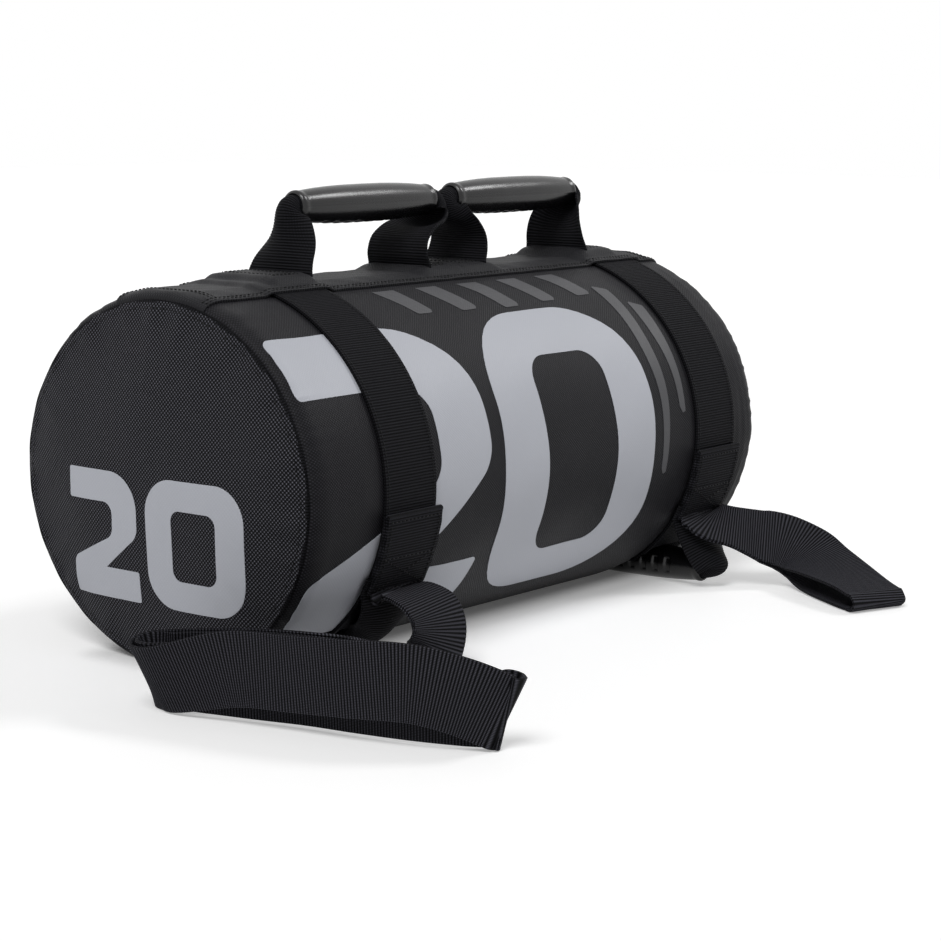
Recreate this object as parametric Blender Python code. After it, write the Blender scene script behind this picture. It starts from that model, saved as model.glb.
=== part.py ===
"""Sandbag trainer: a filled cylindrical training bag lying on the floor.

The bag lies along X, its front is towards -Y and it rests on the plane z = 0.
The woven shell holds three filler pouches. Two webbing bands go round it under a
top strip, two sleeve grips stand along the top, two more lie under the belly,
and a doubled webbing strap comes out below each front patch.
"""

import math

import bmesh
import bpy
from mathutils import Matrix, Vector

# Filled bag, in metres
bag_length = 0.480
bag_height = 0.2365
bag_width = 0.263
floor_settle = 0.006
top_settle = 0.0015
rim_radius = 0.012
rim_draw = 0.006
end_dome = 0.010
shell_wall = 0.0014
strip_thickness = 0.0016
fit_gap = 0.0003

# Webbing
band_width = 0.048
webbing_width = 0.050
webbing_thickness = 0.0022
patch_overlap = 0.002
near_band_x = -0.156
far_band_x = 0.183
band_ease = 0.010

# Sleeve grips
grip_length = 0.136
grip_diameter = 0.026
mouth_diameter = 0.023
bore_diameter = 0.0162
core_reach = 0.002
handle_rise = 0.0420
handles_middle_x = 0.029
handles_gap = 0.024
near_outer_foot_out = 0.020
near_inner_foot_out = -0.030
far_inner_foot_out = -0.006
far_outer_foot_out = -0.011
tab_length = 0.026
near_lower_grip_y = -0.006
far_lower_grip_y = -0.058
tunnel_side = 0.003
tunnel_run = 0.050

# Straps on the floor
strap_width = 0.046
near_strap_gap = 0.012
far_strap_gap = 0.012
strap_seam_gap = 0.0012
strap_length = 0.200

# Zip on the rear shoulder
zip_tape_parting = 0.0008
tooth_length = 0.0026
tooth_pitch = 0.0060
tooth_reach = 0.0026
tooth_overlap = 0.0008
tooth_height = 0.0012
slider_length = 0.0090
slider_wall = 0.0008
slider_clearance = 0.0004
bail_length = 0.0060
bail_width = 0.0024
bail_bar = 0.0010
bail_opening = 0.0018
pull_length = 0.0280
pull_width = 0.0080
pull_bar = 0.0012
pull_window_width = 0.0044
pull_window_length = 0.0046
stop_length = 0.0030

# Facets
ring_steps = 40
grip_sides = 16
leg_steps = 7
strap_steps = 3

# Sizes that follow from the ones above
half_length = bag_length / 2
half_width = bag_width / 2
half_height = (bag_height + floor_settle + top_settle) / 2
centre_height = half_height - floor_settle
angle_step = 2 * math.pi / ring_steps
band_half = band_width / 2
band_span = far_band_x - near_band_x
grip_radius = grip_diameter / 2
grip_half = grip_length / 2
near_grip_x = handles_middle_x - handles_gap / 2 - grip_half
far_grip_x = handles_middle_x + handles_gap / 2 + grip_half
near_outer_foot_x = near_grip_x - grip_half - near_outer_foot_out
near_inner_foot_x = near_grip_x + grip_half + near_inner_foot_out
far_inner_foot_x = far_grip_x - grip_half - far_inner_foot_out
far_outer_foot_x = far_grip_x + grip_half + far_outer_foot_out
mouth_radius = mouth_diameter / 2
bore_radius = bore_diameter / 2
core_radius = bore_radius - fit_gap / math.cos(math.pi / grip_sides)
tunnel_half = grip_radius + tunnel_side
tunnel_height = grip_diameter + webbing_thickness + 3 * fit_gap
lower_grip_height = grip_radius + fit_gap
band_lift = 2 * webbing_thickness + 3 * fit_gap
band_raise = webbing_thickness + fit_gap
patch_base = webbing_thickness + 2 * fit_gap
patch_thickness = 2 * webbing_thickness + fit_gap
fold_width = 2 * core_radius * math.cos(math.pi / 4)
fold_thickness = fold_width / 2

# Places as shares of the bag and of the span between the bands
rim_shares = (0, 0.4, 0.7, 0.9, 1)
pouch_split_shares = (0.21, 0.74)
zip_end_shares = (0.12, 0.87)
zip_step = 5
strip_steps = 2
dome_shares = (0.35, 0.68, 0.9, 1)
dome_power_share = 2.6
patch_angles = (math.radians(96), math.radians(120))

bands = {
    "near": {"x": near_band_x, "grip_y": near_lower_grip_y},
    "far": {"x": far_band_x, "grip_y": far_lower_grip_y},
}

# Each leg's bend, in shares of the handle's rise: lean at the foot, turn at the mouth, lift
top_handles = {
    "near": {
        "grip_x": near_grip_x,
        "feet": {"outer": near_outer_foot_x, "inner": near_inner_foot_x},
        "bend_shares": {"outer": (0.1, 0.3, 0.95), "inner": (1.0, 0.26, 0.08)},
    },
    "far": {
        "grip_x": far_grip_x,
        "feet": {"outer": far_outer_foot_x, "inner": far_inner_foot_x},
        "bend_shares": {"outer": (0.2, 0.25, 0.6), "inner": (0.24, 0.2, 0.3)},
    },
}

# Out, drop and mouth turn of each lower leg, in shares of the grip's radius
lower_leg_bend_shares = {
    "near": {"front": (0.3, 2.3, 2.1), "rear": (0.3, 2.3, 2.1)},
    "far": {"front": (0.6, 2.0, 2.3), "rear": "under"},
}
under_leg_shares = (14, 15, 16, 17, 17.5)
under_leg_mouth_shares = ((1.7, 0.3), (0.7, 0.9))
under_leg_flat_share = 0.62

# Straps: place from the foot in shares of their length, width direction, gap and lift shares
straps = {
    "near": {
        "gap": near_strap_gap,
        "root_shares": (
            ((0, 0, 0), (1, 0, 0)),
            ((-0.005, -0.05, -0.065), (1, 0, 0)),
            ((-0.03, -0.12, -0.11), (0.8, -0.1, 0.5)),
            ((-0.09, -0.13, -0.14), (0.3, -0.1, 0.95)),
        ),
        "loop_shares": (
            ((-0.21, -0.10, 0), (0, 0, 1), (0, 0)),
            ((-0.395, -0.055, 0), (0, 0, 1), (0.1, 0)),
            ((-0.57, 0.045, 0), (0, 0, 1), (0.1, 0)),
            ((-0.72, 0.175, 0), (-0.1, 0, 1), (0.1, 0)),
            ((-0.83, 0.235, 0), (-0.35, -0.1, 1), (0.2, 0)),
            ((-0.80, 0.12, 0), (-0.2, 0, 1), (0.3, 0.05)),
            ((-0.70, -0.12, 0), (0, 0, 1), (0.9, 0.3)),
            ((-0.66, -0.37, 0), (0, 0, 1), (1, 0.35)),
            ((-0.625, -0.595, 0), (0, -0.1, 1), (0.8, 0.22)),
            ((-0.55, -0.80, 0), (0.1, -0.3, 1), (0.3, 0)),
        ),
    },
    "far": {
        "gap": far_strap_gap,
        "root_shares": (
            ((0, 0, 0), (1, 0, 0)),
            ((0.01, -0.065, -0.035), (1, 0, 0.05)),
            ((0.065, -0.135, -0.05), (0.85, 0.35, 0.25)),
        ),
        "loop_shares": (
            ((0.18, -0.20, 0.10), (0.6, 0.5, 0.6), (0, 0)),
            ((0.235, -0.255, 0.05), (0.72, 0.25, 0.62), (0.2, 0)),
            ((0.245, -0.325, 0.02), (0.82, 0, 0.5), (0.6, 0)),
            ((0.185, -0.42, 0), (0.88, -0.37, 0.26), (1, 0)),
            ((0.07, -0.625, 0), (0.93, -0.36, 0.04), (0.9, 0)),
            ((0.025, -0.715, 0), (0.93, -0.36, 0), (0.6, 0)),
        ),
    },
}


def clear_scene():
    for old in list(bpy.data.objects):
        bpy.data.objects.remove(old, do_unlink=True)


def make_material(name, color, roughness, metallic=0):
    material = bpy.data.materials.new(name)
    material.use_nodes = True
    shader = material.node_tree.nodes["Principled BSDF"]
    shader.inputs["Base Color"].default_value = (*color, 1)
    shader.inputs["Roughness"].default_value = roughness
    shader.inputs["Metallic"].default_value = metallic
    return material


def make_piece(name, points, faces, material, pivot=None, smooth=True):
    """One closed body; its origin is on the pivot, if it has one."""
    mesh = bpy.data.meshes.new(name)
    mesh.from_pydata([tuple(point) for point in points], [], faces)
    piece = bpy.data.objects.new(name, mesh)
    bpy.context.scene.collection.objects.link(piece)
    shape = bmesh.new()
    shape.from_mesh(mesh)
    bmesh.ops.recalc_face_normals(shape, faces=shape.faces)
    shape.to_mesh(mesh)
    shape.free()
    if pivot:
        mesh.transform(Matrix.Translation(-pivot.location))
        piece.parent = pivot
    if smooth:
        mesh.shade_smooth()
        mesh.set_sharp_from_angle(angle=math.radians(40))
    mesh.materials.append(material)
    return piece


def make_pivot(name, place):
    pivot = bpy.data.objects.new(name, None)
    pivot.location = place
    bpy.context.scene.collection.objects.link(pivot)
    return pivot


def ramp(value, full, none):
    """One up to full, nothing from none on, straight between them."""
    if value <= full:
        return 1
    if value >= none:
        return 0
    return (none - value) / (none - full)


def rim_inset(x):
    beyond = abs(x) - (half_length - rim_radius)
    if beyond <= 0:
        return 0
    share = min(beyond / rim_radius, 1)
    return rim_draw * (1 - math.sqrt(1 - share * share))


def floor_rise(x, y):
    """How far the belly is pushed up by the bands, the lower grips and their legs."""
    rise = 0
    for band in bands.values():
        away = abs(x - band["x"])
        past = max(band["grip_y"] - grip_half - y, y - band["grip_y"] - grip_half, 0)
        lift = band_lift * ramp(away, band_half, band_half + band_ease)
        tunnel = tunnel_height * ramp(away, tunnel_half, band_half + band_ease)
        rise = max(rise, lift, tunnel * ramp(past, webbing_width / 4, tunnel_run))
    return rise


def skin(x, angle, offset=0):
    """A point of the bag's surface; angle 0 is the top and turns towards the rear."""
    inset = rim_inset(x)
    y = (half_width - inset + offset) * math.sin(angle)
    z = centre_height + (half_height - inset + offset) * math.cos(angle)
    z = min(z, bag_height + offset)
    z = max(z, floor_rise(x, y) - offset)
    return Vector((x, y, z))


def ring_angles(first, last):
    return [angle_step * step for step in range(first, last + 1)]


def bag_stations():
    """Places along X where the surface may bend."""
    stations = {0}
    for side in (-1, 1):
        for share in rim_shares:
            stations.add(side * (half_length - rim_radius + rim_radius * share))
    for band in bands.values():
        for reach in (tunnel_half, band_half, band_half + band_ease):
            stations.add(band["x"] - reach)
            stations.add(band["x"] + reach)
    for share in pouch_split_shares + zip_end_shares:
        stations.add(near_band_x + band_span * share)
    return sorted(stations)


def between(stations, low, high):
    slack = fit_gap / 10
    return [x for x in stations if low - slack <= x <= high + slack]


def wall_panel(name, xs, angles, inner, outer, material, closed=False, absent=None):
    """A curved panel between two offsets of the bag's surface."""
    points = []
    for offset in (inner, outer):
        for x in xs:
            for angle in angles:
                depth = offset(x) if callable(offset) else offset
                points.append(skin(x, angle, depth))
    columns = len(angles)
    layer = len(xs) * columns
    cells = set()
    for row in range(len(xs) - 1):
        for column in range(columns if closed else columns - 1):
            if not (absent and absent(row, column)):
                cells.add((row, column))

    def corner(row, column, top):
        return top * layer + row * columns + column % columns

    faces = []
    for row, column in sorted(cells):
        loop = [(row, column), (row + 1, column), (row + 1, column + 1), (row, column + 1)]
        for half in (loop[:3], [loop[0], *loop[2:]]):
            faces.append([corner(*place, 1) for place in half])
            faces.append([corner(*place, 0) for place in reversed(half)])
        beyond = [(row, column - 1), (row + 1, column), (row, column + 1), (row - 1, column)]
        for edge, (next_row, next_column) in enumerate(beyond):
            if closed:
                next_column %= columns
            if (next_row, next_column) in cells:
                continue
            start = loop[edge]
            end = loop[(edge + 1) % 4]
            faces.append([corner(*start, 0), corner(*end, 0), corner(*end, 1), corner(*start, 1)])
    used = sorted({index for face in faces for index in face})
    order = {index: place for place, index in enumerate(used)}
    faces = [[order[index] for index in face] for face in faces]
    return make_piece(name, [points[index] for index in used], faces, material)


def lofted_rings(name, rings, material, hub_points, pivot=None):
    """A closed body through like rings, its two ends closed on a hub point each."""
    count = len(rings[0])
    points = [point for ring in rings for point in ring]
    faces = []
    for row in range(len(rings) - 1):
        for step in range(count):
            after = (step + 1) % count
            low = row * count
            high = low + count
            faces.append([low + step, high + step, high + after])
            faces.append([low + step, high + after, low + after])
    first_hub = len(points)
    points.extend(hub_points)
    last = (len(rings) - 1) * count
    for step in range(count):
        after = (step + 1) % count
        faces.append([first_hub, step, after])
        faces.append([first_hub + 1, last + after, last + step])
    return make_piece(name, points, faces, material, pivot)


def end_panel(name, side, material):
    """A domed round end whose edge meets the side panel's rim."""
    angles = ring_angles(0, ring_steps - 1)
    hub = Vector((0, 0, centre_height))
    edge = [skin(side * half_length, angle) for angle in angles]

    def ring(share, depth):
        crown = end_dome * (1 - share ** dome_power_share)
        x = side * (half_length + fit_gap + crown + depth)
        return [Vector((x, *(hub + (point - hub) * share).yz)) for point in edge]

    rings = [ring(share, shell_wall) for share in dome_shares]
    rings += [ring(share, 0) for share in reversed(dome_shares)]
    outer_x = half_length + fit_gap + end_dome + shell_wall
    hubs = [
        Vector((side * outer_x, hub.y, hub.z)),
        Vector((side * (outer_x - shell_wall), hub.y, hub.z)),
    ]
    return lofted_rings(name, rings, material, hubs)


def pouch(name, xs, material):
    angles = ring_angles(0, ring_steps - 1)
    depth = -shell_wall - fit_gap
    rings = [[skin(x, angle, depth) for angle in angles] for x in xs]
    hubs = [Vector((xs[0], 0, centre_height)), Vector((xs[-1], 0, centre_height))]
    return lofted_rings(name, rings, material, hubs)


def strip_base(x):
    """The top strip rises over each band that runs beneath it."""
    cover = 0
    for band in bands.values():
        cover = max(cover, ramp(abs(x - band["x"]), band_half, band_half + band_ease))
    return fit_gap + band_raise * cover


def strip_top(x):
    return strip_base(x) + strip_thickness


def bezier(start, leave, arrive, end, steps):
    path = []
    for step in range(steps + 1):
        share = step / steps
        rest = 1 - share
        point = start * rest ** 3 + leave * (3 * rest * rest * share)
        path.append(point + arrive * (3 * rest * share * share) + end * share ** 3)
    return path


def smooth_run(stops, steps, closed=False):
    """Points of a smooth curve through the stops, vectors of any size."""
    count = len(stops)
    run = []
    legs = count if closed else count - 1
    for leg in range(legs):
        near = [stops[(leg + shift) % count] for shift in (-1, 0, 1, 2)]
        if not closed and leg == 0:
            near[0] = near[1]
        if not closed and leg == legs - 1:
            near[3] = near[2]
        for step in range(steps):
            share = step / steps
            pull = near[2] - near[0]
            curve = near[0] * 2 - near[1] * 5 + near[2] * 4 - near[3]
            twist = near[1] * 3 - near[0] - near[2] * 3 + near[3]
            run.append((near[1] * 2 + pull * share + curve * share ** 2 + twist * share ** 3) / 2)
    if not closed:
        run.append(stops[-1])
    return run


def path_directions(path, closed, headings):
    """The direction of travel at each point; headings fix it at the two ends."""
    count = len(path)
    directions = []
    for place in range(count):
        if closed:
            ahead = path[(place + 1) % count]
            behind = path[place - 1]
        else:
            ahead = path[min(place + 1, count - 1)]
            behind = path[max(place - 1, 0)]
        directions.append((ahead - behind).normalized())
    for place, heading in zip((0, -1), headings):
        if heading:
            directions[place] = heading.normalized()
    return directions


def webbing(
    name, path, across, widths, thicknesses, material, closed=False, pivot=None,
    headings=(None, None),
):
    """A flat strap along a path; across holds the width direction at each point."""
    points = []
    count = len(path)
    directions = path_directions(path, closed, headings)
    for place, centre in enumerate(path):
        along = directions[place]
        side = (across[place] - along * across[place].dot(along)).normalized()
        face = along.cross(side)
        half = side * widths[place] / 2
        depth = face * thicknesses[place] / 2
        corners = [centre + half + depth, centre - half + depth]
        corners += [centre - half - depth, centre + half - depth]
        sunk = max(fit_gap - min(corner.z for corner in corners), 0)
        points += [corner + Vector((0, 0, sunk)) for corner in corners]
    faces = []
    for place in range(count if closed else count - 1):
        low = place * 4
        high = (place + 1) % count * 4
        for edge in range(4):
            after = (edge + 1) % 4
            faces.append([low + edge, high + edge, high + after, low + after])
    if not closed:
        last = (count - 1) * 4
        faces.append([0, 1, 2, 3])
        faces.append([last + 3, last + 2, last + 1, last])
    return make_piece(name, points, faces, material, pivot)


def handle_leg(name, path, across, material, pivot, headings, flat_share=0):
    """Webbing that is flat at its foot and folded narrow where it enters the grip."""
    widths = []
    thicknesses = []
    for place in range(len(path)):
        share = max(place / (len(path) - 1) - flat_share, 0) / (1 - flat_share)
        fold = share * share * (3 - 2 * share)
        widths.append(webbing_width + (fold_width - webbing_width) * fold)
        thicknesses.append(webbing_thickness + (fold_thickness - webbing_thickness) * fold)
    return webbing(
        name, path, [across] * len(path), widths, thicknesses, material, pivot=pivot,
        headings=headings,
    )


def sleeve(name, centre, turn, material, pivot):
    """A barrel-shaped grip, open at both ends, turned about its own length."""
    barrel_shares = (-1, -0.94, -0.7, -0.3, 0.3, 0.7, 0.94, 1)
    girth_shares = (0.25, 0, 0.5, 1, 1, 0.5, 0, 0.25)
    profile = []
    for place, girth in zip(barrel_shares, girth_shares):
        radius = mouth_radius + (grip_radius - mouth_radius) * girth
        profile.append((place * grip_half, radius))
    profile += [(grip_half, bore_radius), (-grip_half, bore_radius)]
    points = []
    for x, radius in profile:
        for side in range(grip_sides):
            angle = 2 * math.pi * (side + 0.5) / grip_sides
            spoke = Vector((x, radius * math.cos(angle), radius * math.sin(angle)))
            points.append(centre + turn @ spoke)
    faces = []
    for row in range(len(profile)):
        low = row * grip_sides
        high = (row + 1) % len(profile) * grip_sides
        for side in range(grip_sides):
            after = (side + 1) % grip_sides
            faces.append([low + side, high + side, high + after, low + after])
    return make_piece(name, points, faces, material, pivot)


def webbing_core(name, centre, turn, material, pivot):
    """The folded webbing that fills the grip's bore and shows at both mouths."""
    reach = grip_half + core_reach
    rings = []
    for x in (-reach, reach):
        ring = []
        for side in range(grip_sides):
            angle = 2 * math.pi * (side + 0.5) / grip_sides
            spoke = Vector((x, core_radius * math.cos(angle), core_radius * math.sin(angle)))
            ring.append(centre + turn @ spoke)
        rings.append(ring)
    hubs = [centre + turn @ Vector((-reach, 0, 0)), centre + turn @ Vector((reach, 0, 0))]
    return lofted_rings(name, rings, material, hubs, pivot)


def box_points(low, high):
    return [
        Vector((x, y, z)) for x in (low[0], high[0]) for y in (low[1], high[1]) for z in (low[2], high[2])
    ]


box_faces = ((0, 1, 3, 2), (4, 6, 7, 5), (0, 4, 5, 1), (2, 3, 7, 6), (0, 2, 6, 4), (1, 5, 7, 3))


def boxes(name, spans, place, material, pivot=None):
    """Separate blocks, each a span of low and high corners in the frame of place."""
    points = []
    faces = []
    for low, high in spans:
        start = len(points)
        points += [place @ point for point in box_points(low, high)]
        faces += [[start + corner for corner in face] for face in box_faces]
    return make_piece(name, points, faces, material, pivot, smooth=False)


def make_shell(stations, fabric, end_fabric):
    low, high = (near_band_x + band_span * share for share in zip_end_shares)

    def zip_slot(row, column):
        return low - fit_gap < stations[row] < high - fit_gap and column == zip_step

    wall_panel(
        "side_panel", stations, ring_angles(0, ring_steps - 1), -shell_wall, 0, fabric,
        closed=True, absent=zip_slot,
    )
    end_panel("near_end_panel", -1, end_fabric)
    end_panel("far_end_panel", 1, end_fabric)


def make_filling(stations, pouch_fabric, binding_fabric):
    edge = half_length - rim_radius
    splits = [near_band_x + band_span * share for share in pouch_split_shares]
    cuts = [-edge, *splits, edge]
    for name, start, end in zip(("near", "middle", "far"), cuts, cuts[1:]):
        xs = between(stations, start, end)
        xs[0] += fit_gap / 2
        xs[-1] -= fit_gap / 2
        pouch(f"{name}_filler_pouch", xs, pouch_fabric)
    binding_shares = rim_shares[:3]
    for name, side in (("near", -1), ("far", 1)):
        xs = sorted(side * (edge + rim_radius * share) for share in binding_shares)
        xs[0 if side > 0 else -1] += side * fit_gap
        depth = -shell_wall - fit_gap
        wall_panel(
            f"{name}_rim_binding", xs, ring_angles(0, ring_steps - 1), depth - shell_wall, depth,
            binding_fabric, closed=True,
        )


def make_strip(stations, fabric):
    wall_panel(
        "top_strip", stations, ring_angles(-strip_steps, strip_steps), strip_base, strip_top, fabric
    )


def make_bands(tape):
    for name, band in bands.items():
        xs = [band["x"] + reach for reach in (-band_half, -tunnel_half, tunnel_half, band_half)]
        wall_panel(
            f"{name}_band", xs, ring_angles(0, ring_steps - 1), fit_gap, fit_gap + webbing_thickness,
            tape, closed=True,
        )


def make_patches(tape):
    """A doubled webbing patch on each band, front and rear, at the foot of the legs."""
    first, last = patch_angles
    inner = [step * angle_step for step in range(ring_steps) if first < step * angle_step < last]
    for name, band in bands.items():
        for end, side in (("front", -1), ("rear", 1)):
            angles = sorted(side * angle for angle in (first, *inner, last))
            reach = band_half + patch_overlap
            wall_panel(
                f"{name}_{end}_patch", [band["x"] - reach, band["x"] + reach], angles,
                patch_base, patch_base + patch_thickness, tape,
            )


def top_level(x):
    return bag_height + strip_top(x)


def make_top_handle(name, grip_x, feet, leans, rubber, tape):
    """A sleeve grip held by two webbing legs that stand on sewn tabs."""
    tab_z = {end: top_level(foot) + fit_gap for end, foot in feet.items()}
    foot_z = max(tab_z.values()) + webbing_thickness + fit_gap
    centre = Vector((grip_x, 0, foot_z + handle_rise - fit_gap))
    pivot = make_pivot(f"{name}_top_handle_pivot", Vector((grip_x, 0, foot_z)))
    turn = Matrix.Identity(3)
    sleeve(f"{name}_top_grip", centre, turn, rubber, pivot)
    webbing_core(f"{name}_top_webbing_core", centre, turn, tape, pivot)
    across = Vector((0, 1, 0))
    for end, foot in feet.items():
        outward = 1 if foot > grip_x else -1
        lean, turn_out, lift = leans[end]
        rising = Vector((outward * lean * handle_rise, 0, lift * handle_rise))
        foot_lift = webbing_thickness / 2 * abs(rising.normalized().x)
        start = Vector((foot, 0, tab_z[end] + webbing_thickness + fit_gap + foot_lift))
        reach = grip_half + core_reach + fit_gap
        stop = centre + Vector((outward * reach, 0, 0))
        arrive = stop + Vector((outward * turn_out * handle_rise, 0, 0))
        path = bezier(start, start + rising, arrive, stop, leg_steps)
        headings = (rising, stop - arrive)
        handle_leg(f"{name}_top_{end}_leg", path, across, tape, pivot, headings)
        half = webbing_width / 2
        xs = sorted((foot - outward * webbing_thickness, foot + outward * tab_length))
        base = max(top_level(x) for x in xs) + fit_gap
        low = (xs[0], -half, base)
        high = (xs[1], half, base + webbing_thickness)
        boxes(f"{name}_top_{end}_tab", [(low, high)], Matrix.Identity(4), tape)


def make_lower_handle(name, band, bends, rubber, tape):
    """A grip under the belly, its webbing legs sewn in at the front and rear patches."""
    centre = Vector((band["x"], band["grip_y"], lower_grip_height))
    pivot = make_pivot(f"{name}_lower_handle_pivot", centre)
    turn = Matrix.Rotation(math.pi / 2, 3, "Z")
    sleeve(f"{name}_lower_grip", centre, turn, rubber, pivot)
    webbing_core(f"{name}_lower_webbing_core", centre, turn, tape, pivot)
    across = Vector((1, 0, 0))
    depth = patch_base + webbing_thickness / 2
    for end, side in (("front", -1), ("rear", 1)):
        angle = side * (patch_angles[1] + 2 * fit_gap / half_height)
        start = skin(band["x"], angle, depth)
        down = skin(band["x"], angle + side * angle_step / 4, depth) - start
        reach = grip_half + core_reach + fit_gap
        stop = centre + Vector((0, side * reach, 0))
        if bends[end] == "under":
            flat = [share * angle_step for share in under_leg_shares]
            path = [start] + [skin(band["x"], side * turn_by, depth) for turn_by in flat]
            for out, height in under_leg_mouth_shares:
                rise = stop.z * height
                path.append(Vector((band["x"], stop.y + side * grip_radius * out, rise)))
            path.append(stop)
            arrive = Vector((band["x"], stop.y + side * grip_radius, stop.z))
        else:
            out, drop, mouth = bends[end]
            leave = start + Vector((0, side * out * grip_radius, -drop * grip_radius))
            arrive = stop + Vector((0, side * mouth * grip_radius, 0))
            path = bezier(start, leave, arrive, stop, leg_steps)
        headings = (down, stop - arrive)
        flat_share = under_leg_flat_share if bends[end] == "under" else 0
        handle_leg(f"{name}_lower_{end}_leg", path, across, tape, pivot, headings, flat_share)


def strap_points(stops, foot):
    """Smoothed places, width directions and gap and lift shares of a strap's stops."""
    places = smooth_run([Vector(place) for place, *_ in stops], strap_steps)
    across = smooth_run([Vector(lean) for _, lean, *_ in stops], strap_steps)
    fits = smooth_run([Vector((*fit, 0)) for *_, fit in stops], strap_steps)
    return [foot + place * strap_length for place in places], across, fits


def make_strap(name, band, root_stops, loop_stops, gap, tape):
    """A doubled strap: a root out of the front patch, then a loop lying on the floor."""
    angle = -patch_angles[1] - 2 * fit_gap / half_height
    foot = skin(band["x"], angle, patch_base + 3 * webbing_thickness / 2 + fit_gap)
    pivot = make_pivot(f"{name}_strap_pivot", foot)
    places, across, fits = strap_points(loop_stops, foot)
    spacings = []
    for centre, side, fit in zip(places, across, fits):
        side.normalize()
        spacing = (webbing_thickness + strap_seam_gap + (gap - strap_seam_gap) * fit[0]) / 2
        rest = strap_width / 2 * abs(side.z)
        rest += (spacing + webbing_thickness / 2) * math.hypot(side.x, side.y)
        centre.z += rest + fit_gap - foot.z
        spacings.append(spacing)
    upper = []
    lower = []
    for place, along in enumerate(path_directions(places, False, (None, None))):
        face = along.cross(across[place]).normalized() * spacings[place]
        upper.append(places[place] + face + Vector((0, 0, fits[place][1] * strap_width)))
        lower.append(places[place] - face)
    heading = places[0] - places[1]
    heading = (heading - across[0] * heading.dot(across[0])).normalized()
    start_cap = (upper[0] + lower[0]) / 2 + heading * webbing_thickness
    tip_cap = (upper[-1] + lower[-1]) / 2
    tip_cap += (places[-1] - places[-2]).normalized() * (upper[-1] - lower[-1]).length / 2
    ring = [start_cap, *upper, tip_cap, *reversed(lower)]
    ring_across = [across[0], *across, across[-1], *reversed(across)]
    webbing(
        f"{name}_strap_loop", ring, ring_across, [strap_width] * len(ring),
        [webbing_thickness] * len(ring), tape, closed=True, pivot=pivot,
    )
    root_end = start_cap + heading * (webbing_thickness / 2 + 3 * fit_gap)
    stops = [Vector(place) * strap_length + foot for place, _ in root_stops]
    stops += [root_end + heading * strap_width / 8, root_end]
    leans = [Vector(lean) for _, lean in root_stops] + [across[0], across[0]]
    path = smooth_run(stops, strap_steps)
    root_across = smooth_run(leans, strap_steps)
    widths = [
        webbing_width + (strap_width - webbing_width) * place / (len(path) - 1)
        for place in range(len(path))
    ]
    down = skin(band["x"], angle - angle_step / 4) - skin(band["x"], angle)
    webbing(
        f"{name}_strap_root", path, root_across, widths, [webbing_thickness] * len(path), tape,
        pivot=pivot, headings=(down, -heading),
    )


def zip_frame(start_x):
    """The slot's own frame: X along the zip, Y across it, Z out of the bag."""
    first, last = (zip_step * angle_step, (zip_step + 1) * angle_step)
    one = skin(start_x, first)
    other = skin(start_x, last)
    along = Vector((1, 0, 0))
    across = (other - one).normalized()
    out = along.cross(across)
    place = Matrix((along, across, out)).transposed().to_4x4()
    place.translation = (one + other) / 2
    return place, (other - one).length


def make_zip(tape, metal):
    start, end = (near_band_x + band_span * share for share in zip_end_shares)
    place, slot = zip_frame(start)
    length = end - start
    edge = slot / 2 - fit_gap
    for name, side in (("upper", -1), ("lower", 1)):
        across = sorted((side * zip_tape_parting / 2, side * edge))
        low = (fit_gap, across[0], -shell_wall)
        high = (length - fit_gap, across[1], -fit_gap)
        boxes(f"zip_{name}_tape", [(low, high)], place, tape)
    stop_gap = stop_length + 2 * fit_gap
    for name, side in (("upper", -1), ("lower", 1)):
        lead = stop_gap + (side + 1) / 2 * tooth_pitch / 2
        make_teeth(f"zip_{name}_teeth", side, lead, length - stop_gap, place, metal)
    for name, x in (("start", fit_gap), ("end", length - fit_gap - stop_length)):
        low = (x, -tooth_reach, 0)
        high = (x + stop_length, tooth_reach, tooth_height + slider_wall)
        boxes(f"zip_{name}_stop", [(low, high)], place, metal)
    make_slider(place, stop_gap, metal)


def outline_solid(name, outline, low, high, place, material, pivot, hole=None):
    """A flat outline in X and Z given its width along Y, with one hole if there is one."""
    points = []
    faces = []
    count = len(outline)
    for y in (low, high):
        for x, z in (*outline, *(hole or ())):
            points.append(place @ Vector((x, y, z)))
    total = len(points) // 2
    for loop_start in (0, count) if hole else (0,):
        for corner in range(count):
            one = loop_start + corner
            other = loop_start + (corner + 1) % count
            faces.append([one, other, total + other, total + one])
    for layer in (0, total):
        if hole:
            for corner in range(count):
                after = (corner + 1) % count
                faces.append([layer + corner, layer + after, layer + count + after, layer + count + corner])
        else:
            faces.append([layer + corner for corner in range(count)])
    return make_piece(name, points, faces, material, pivot, smooth=False)


def make_teeth(name, side, lead, end, place, metal):
    """A row of teeth on a spine; the other row's teeth lie between them."""
    back = side * tooth_reach
    root = side * (tooth_overlap + fit_gap)
    tip = -side * tooth_overlap
    outline = [(lead, back)]
    x = lead
    while x + tooth_length < end:
        outline += [(x, tip), (x + tooth_length, tip), (x + tooth_length, root)]
        x += tooth_pitch
        if x + tooth_length < end:
            outline.append((x, root))
    outline.append((outline[-1][0], back))
    swap = Matrix(((1, 0, 0, 0), (0, 0, 1, 0), (0, 1, 0, 0), (0, 0, 0, 1)))
    outline_solid(name, outline, 0, tooth_height, place @ swap, metal, None)


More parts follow.
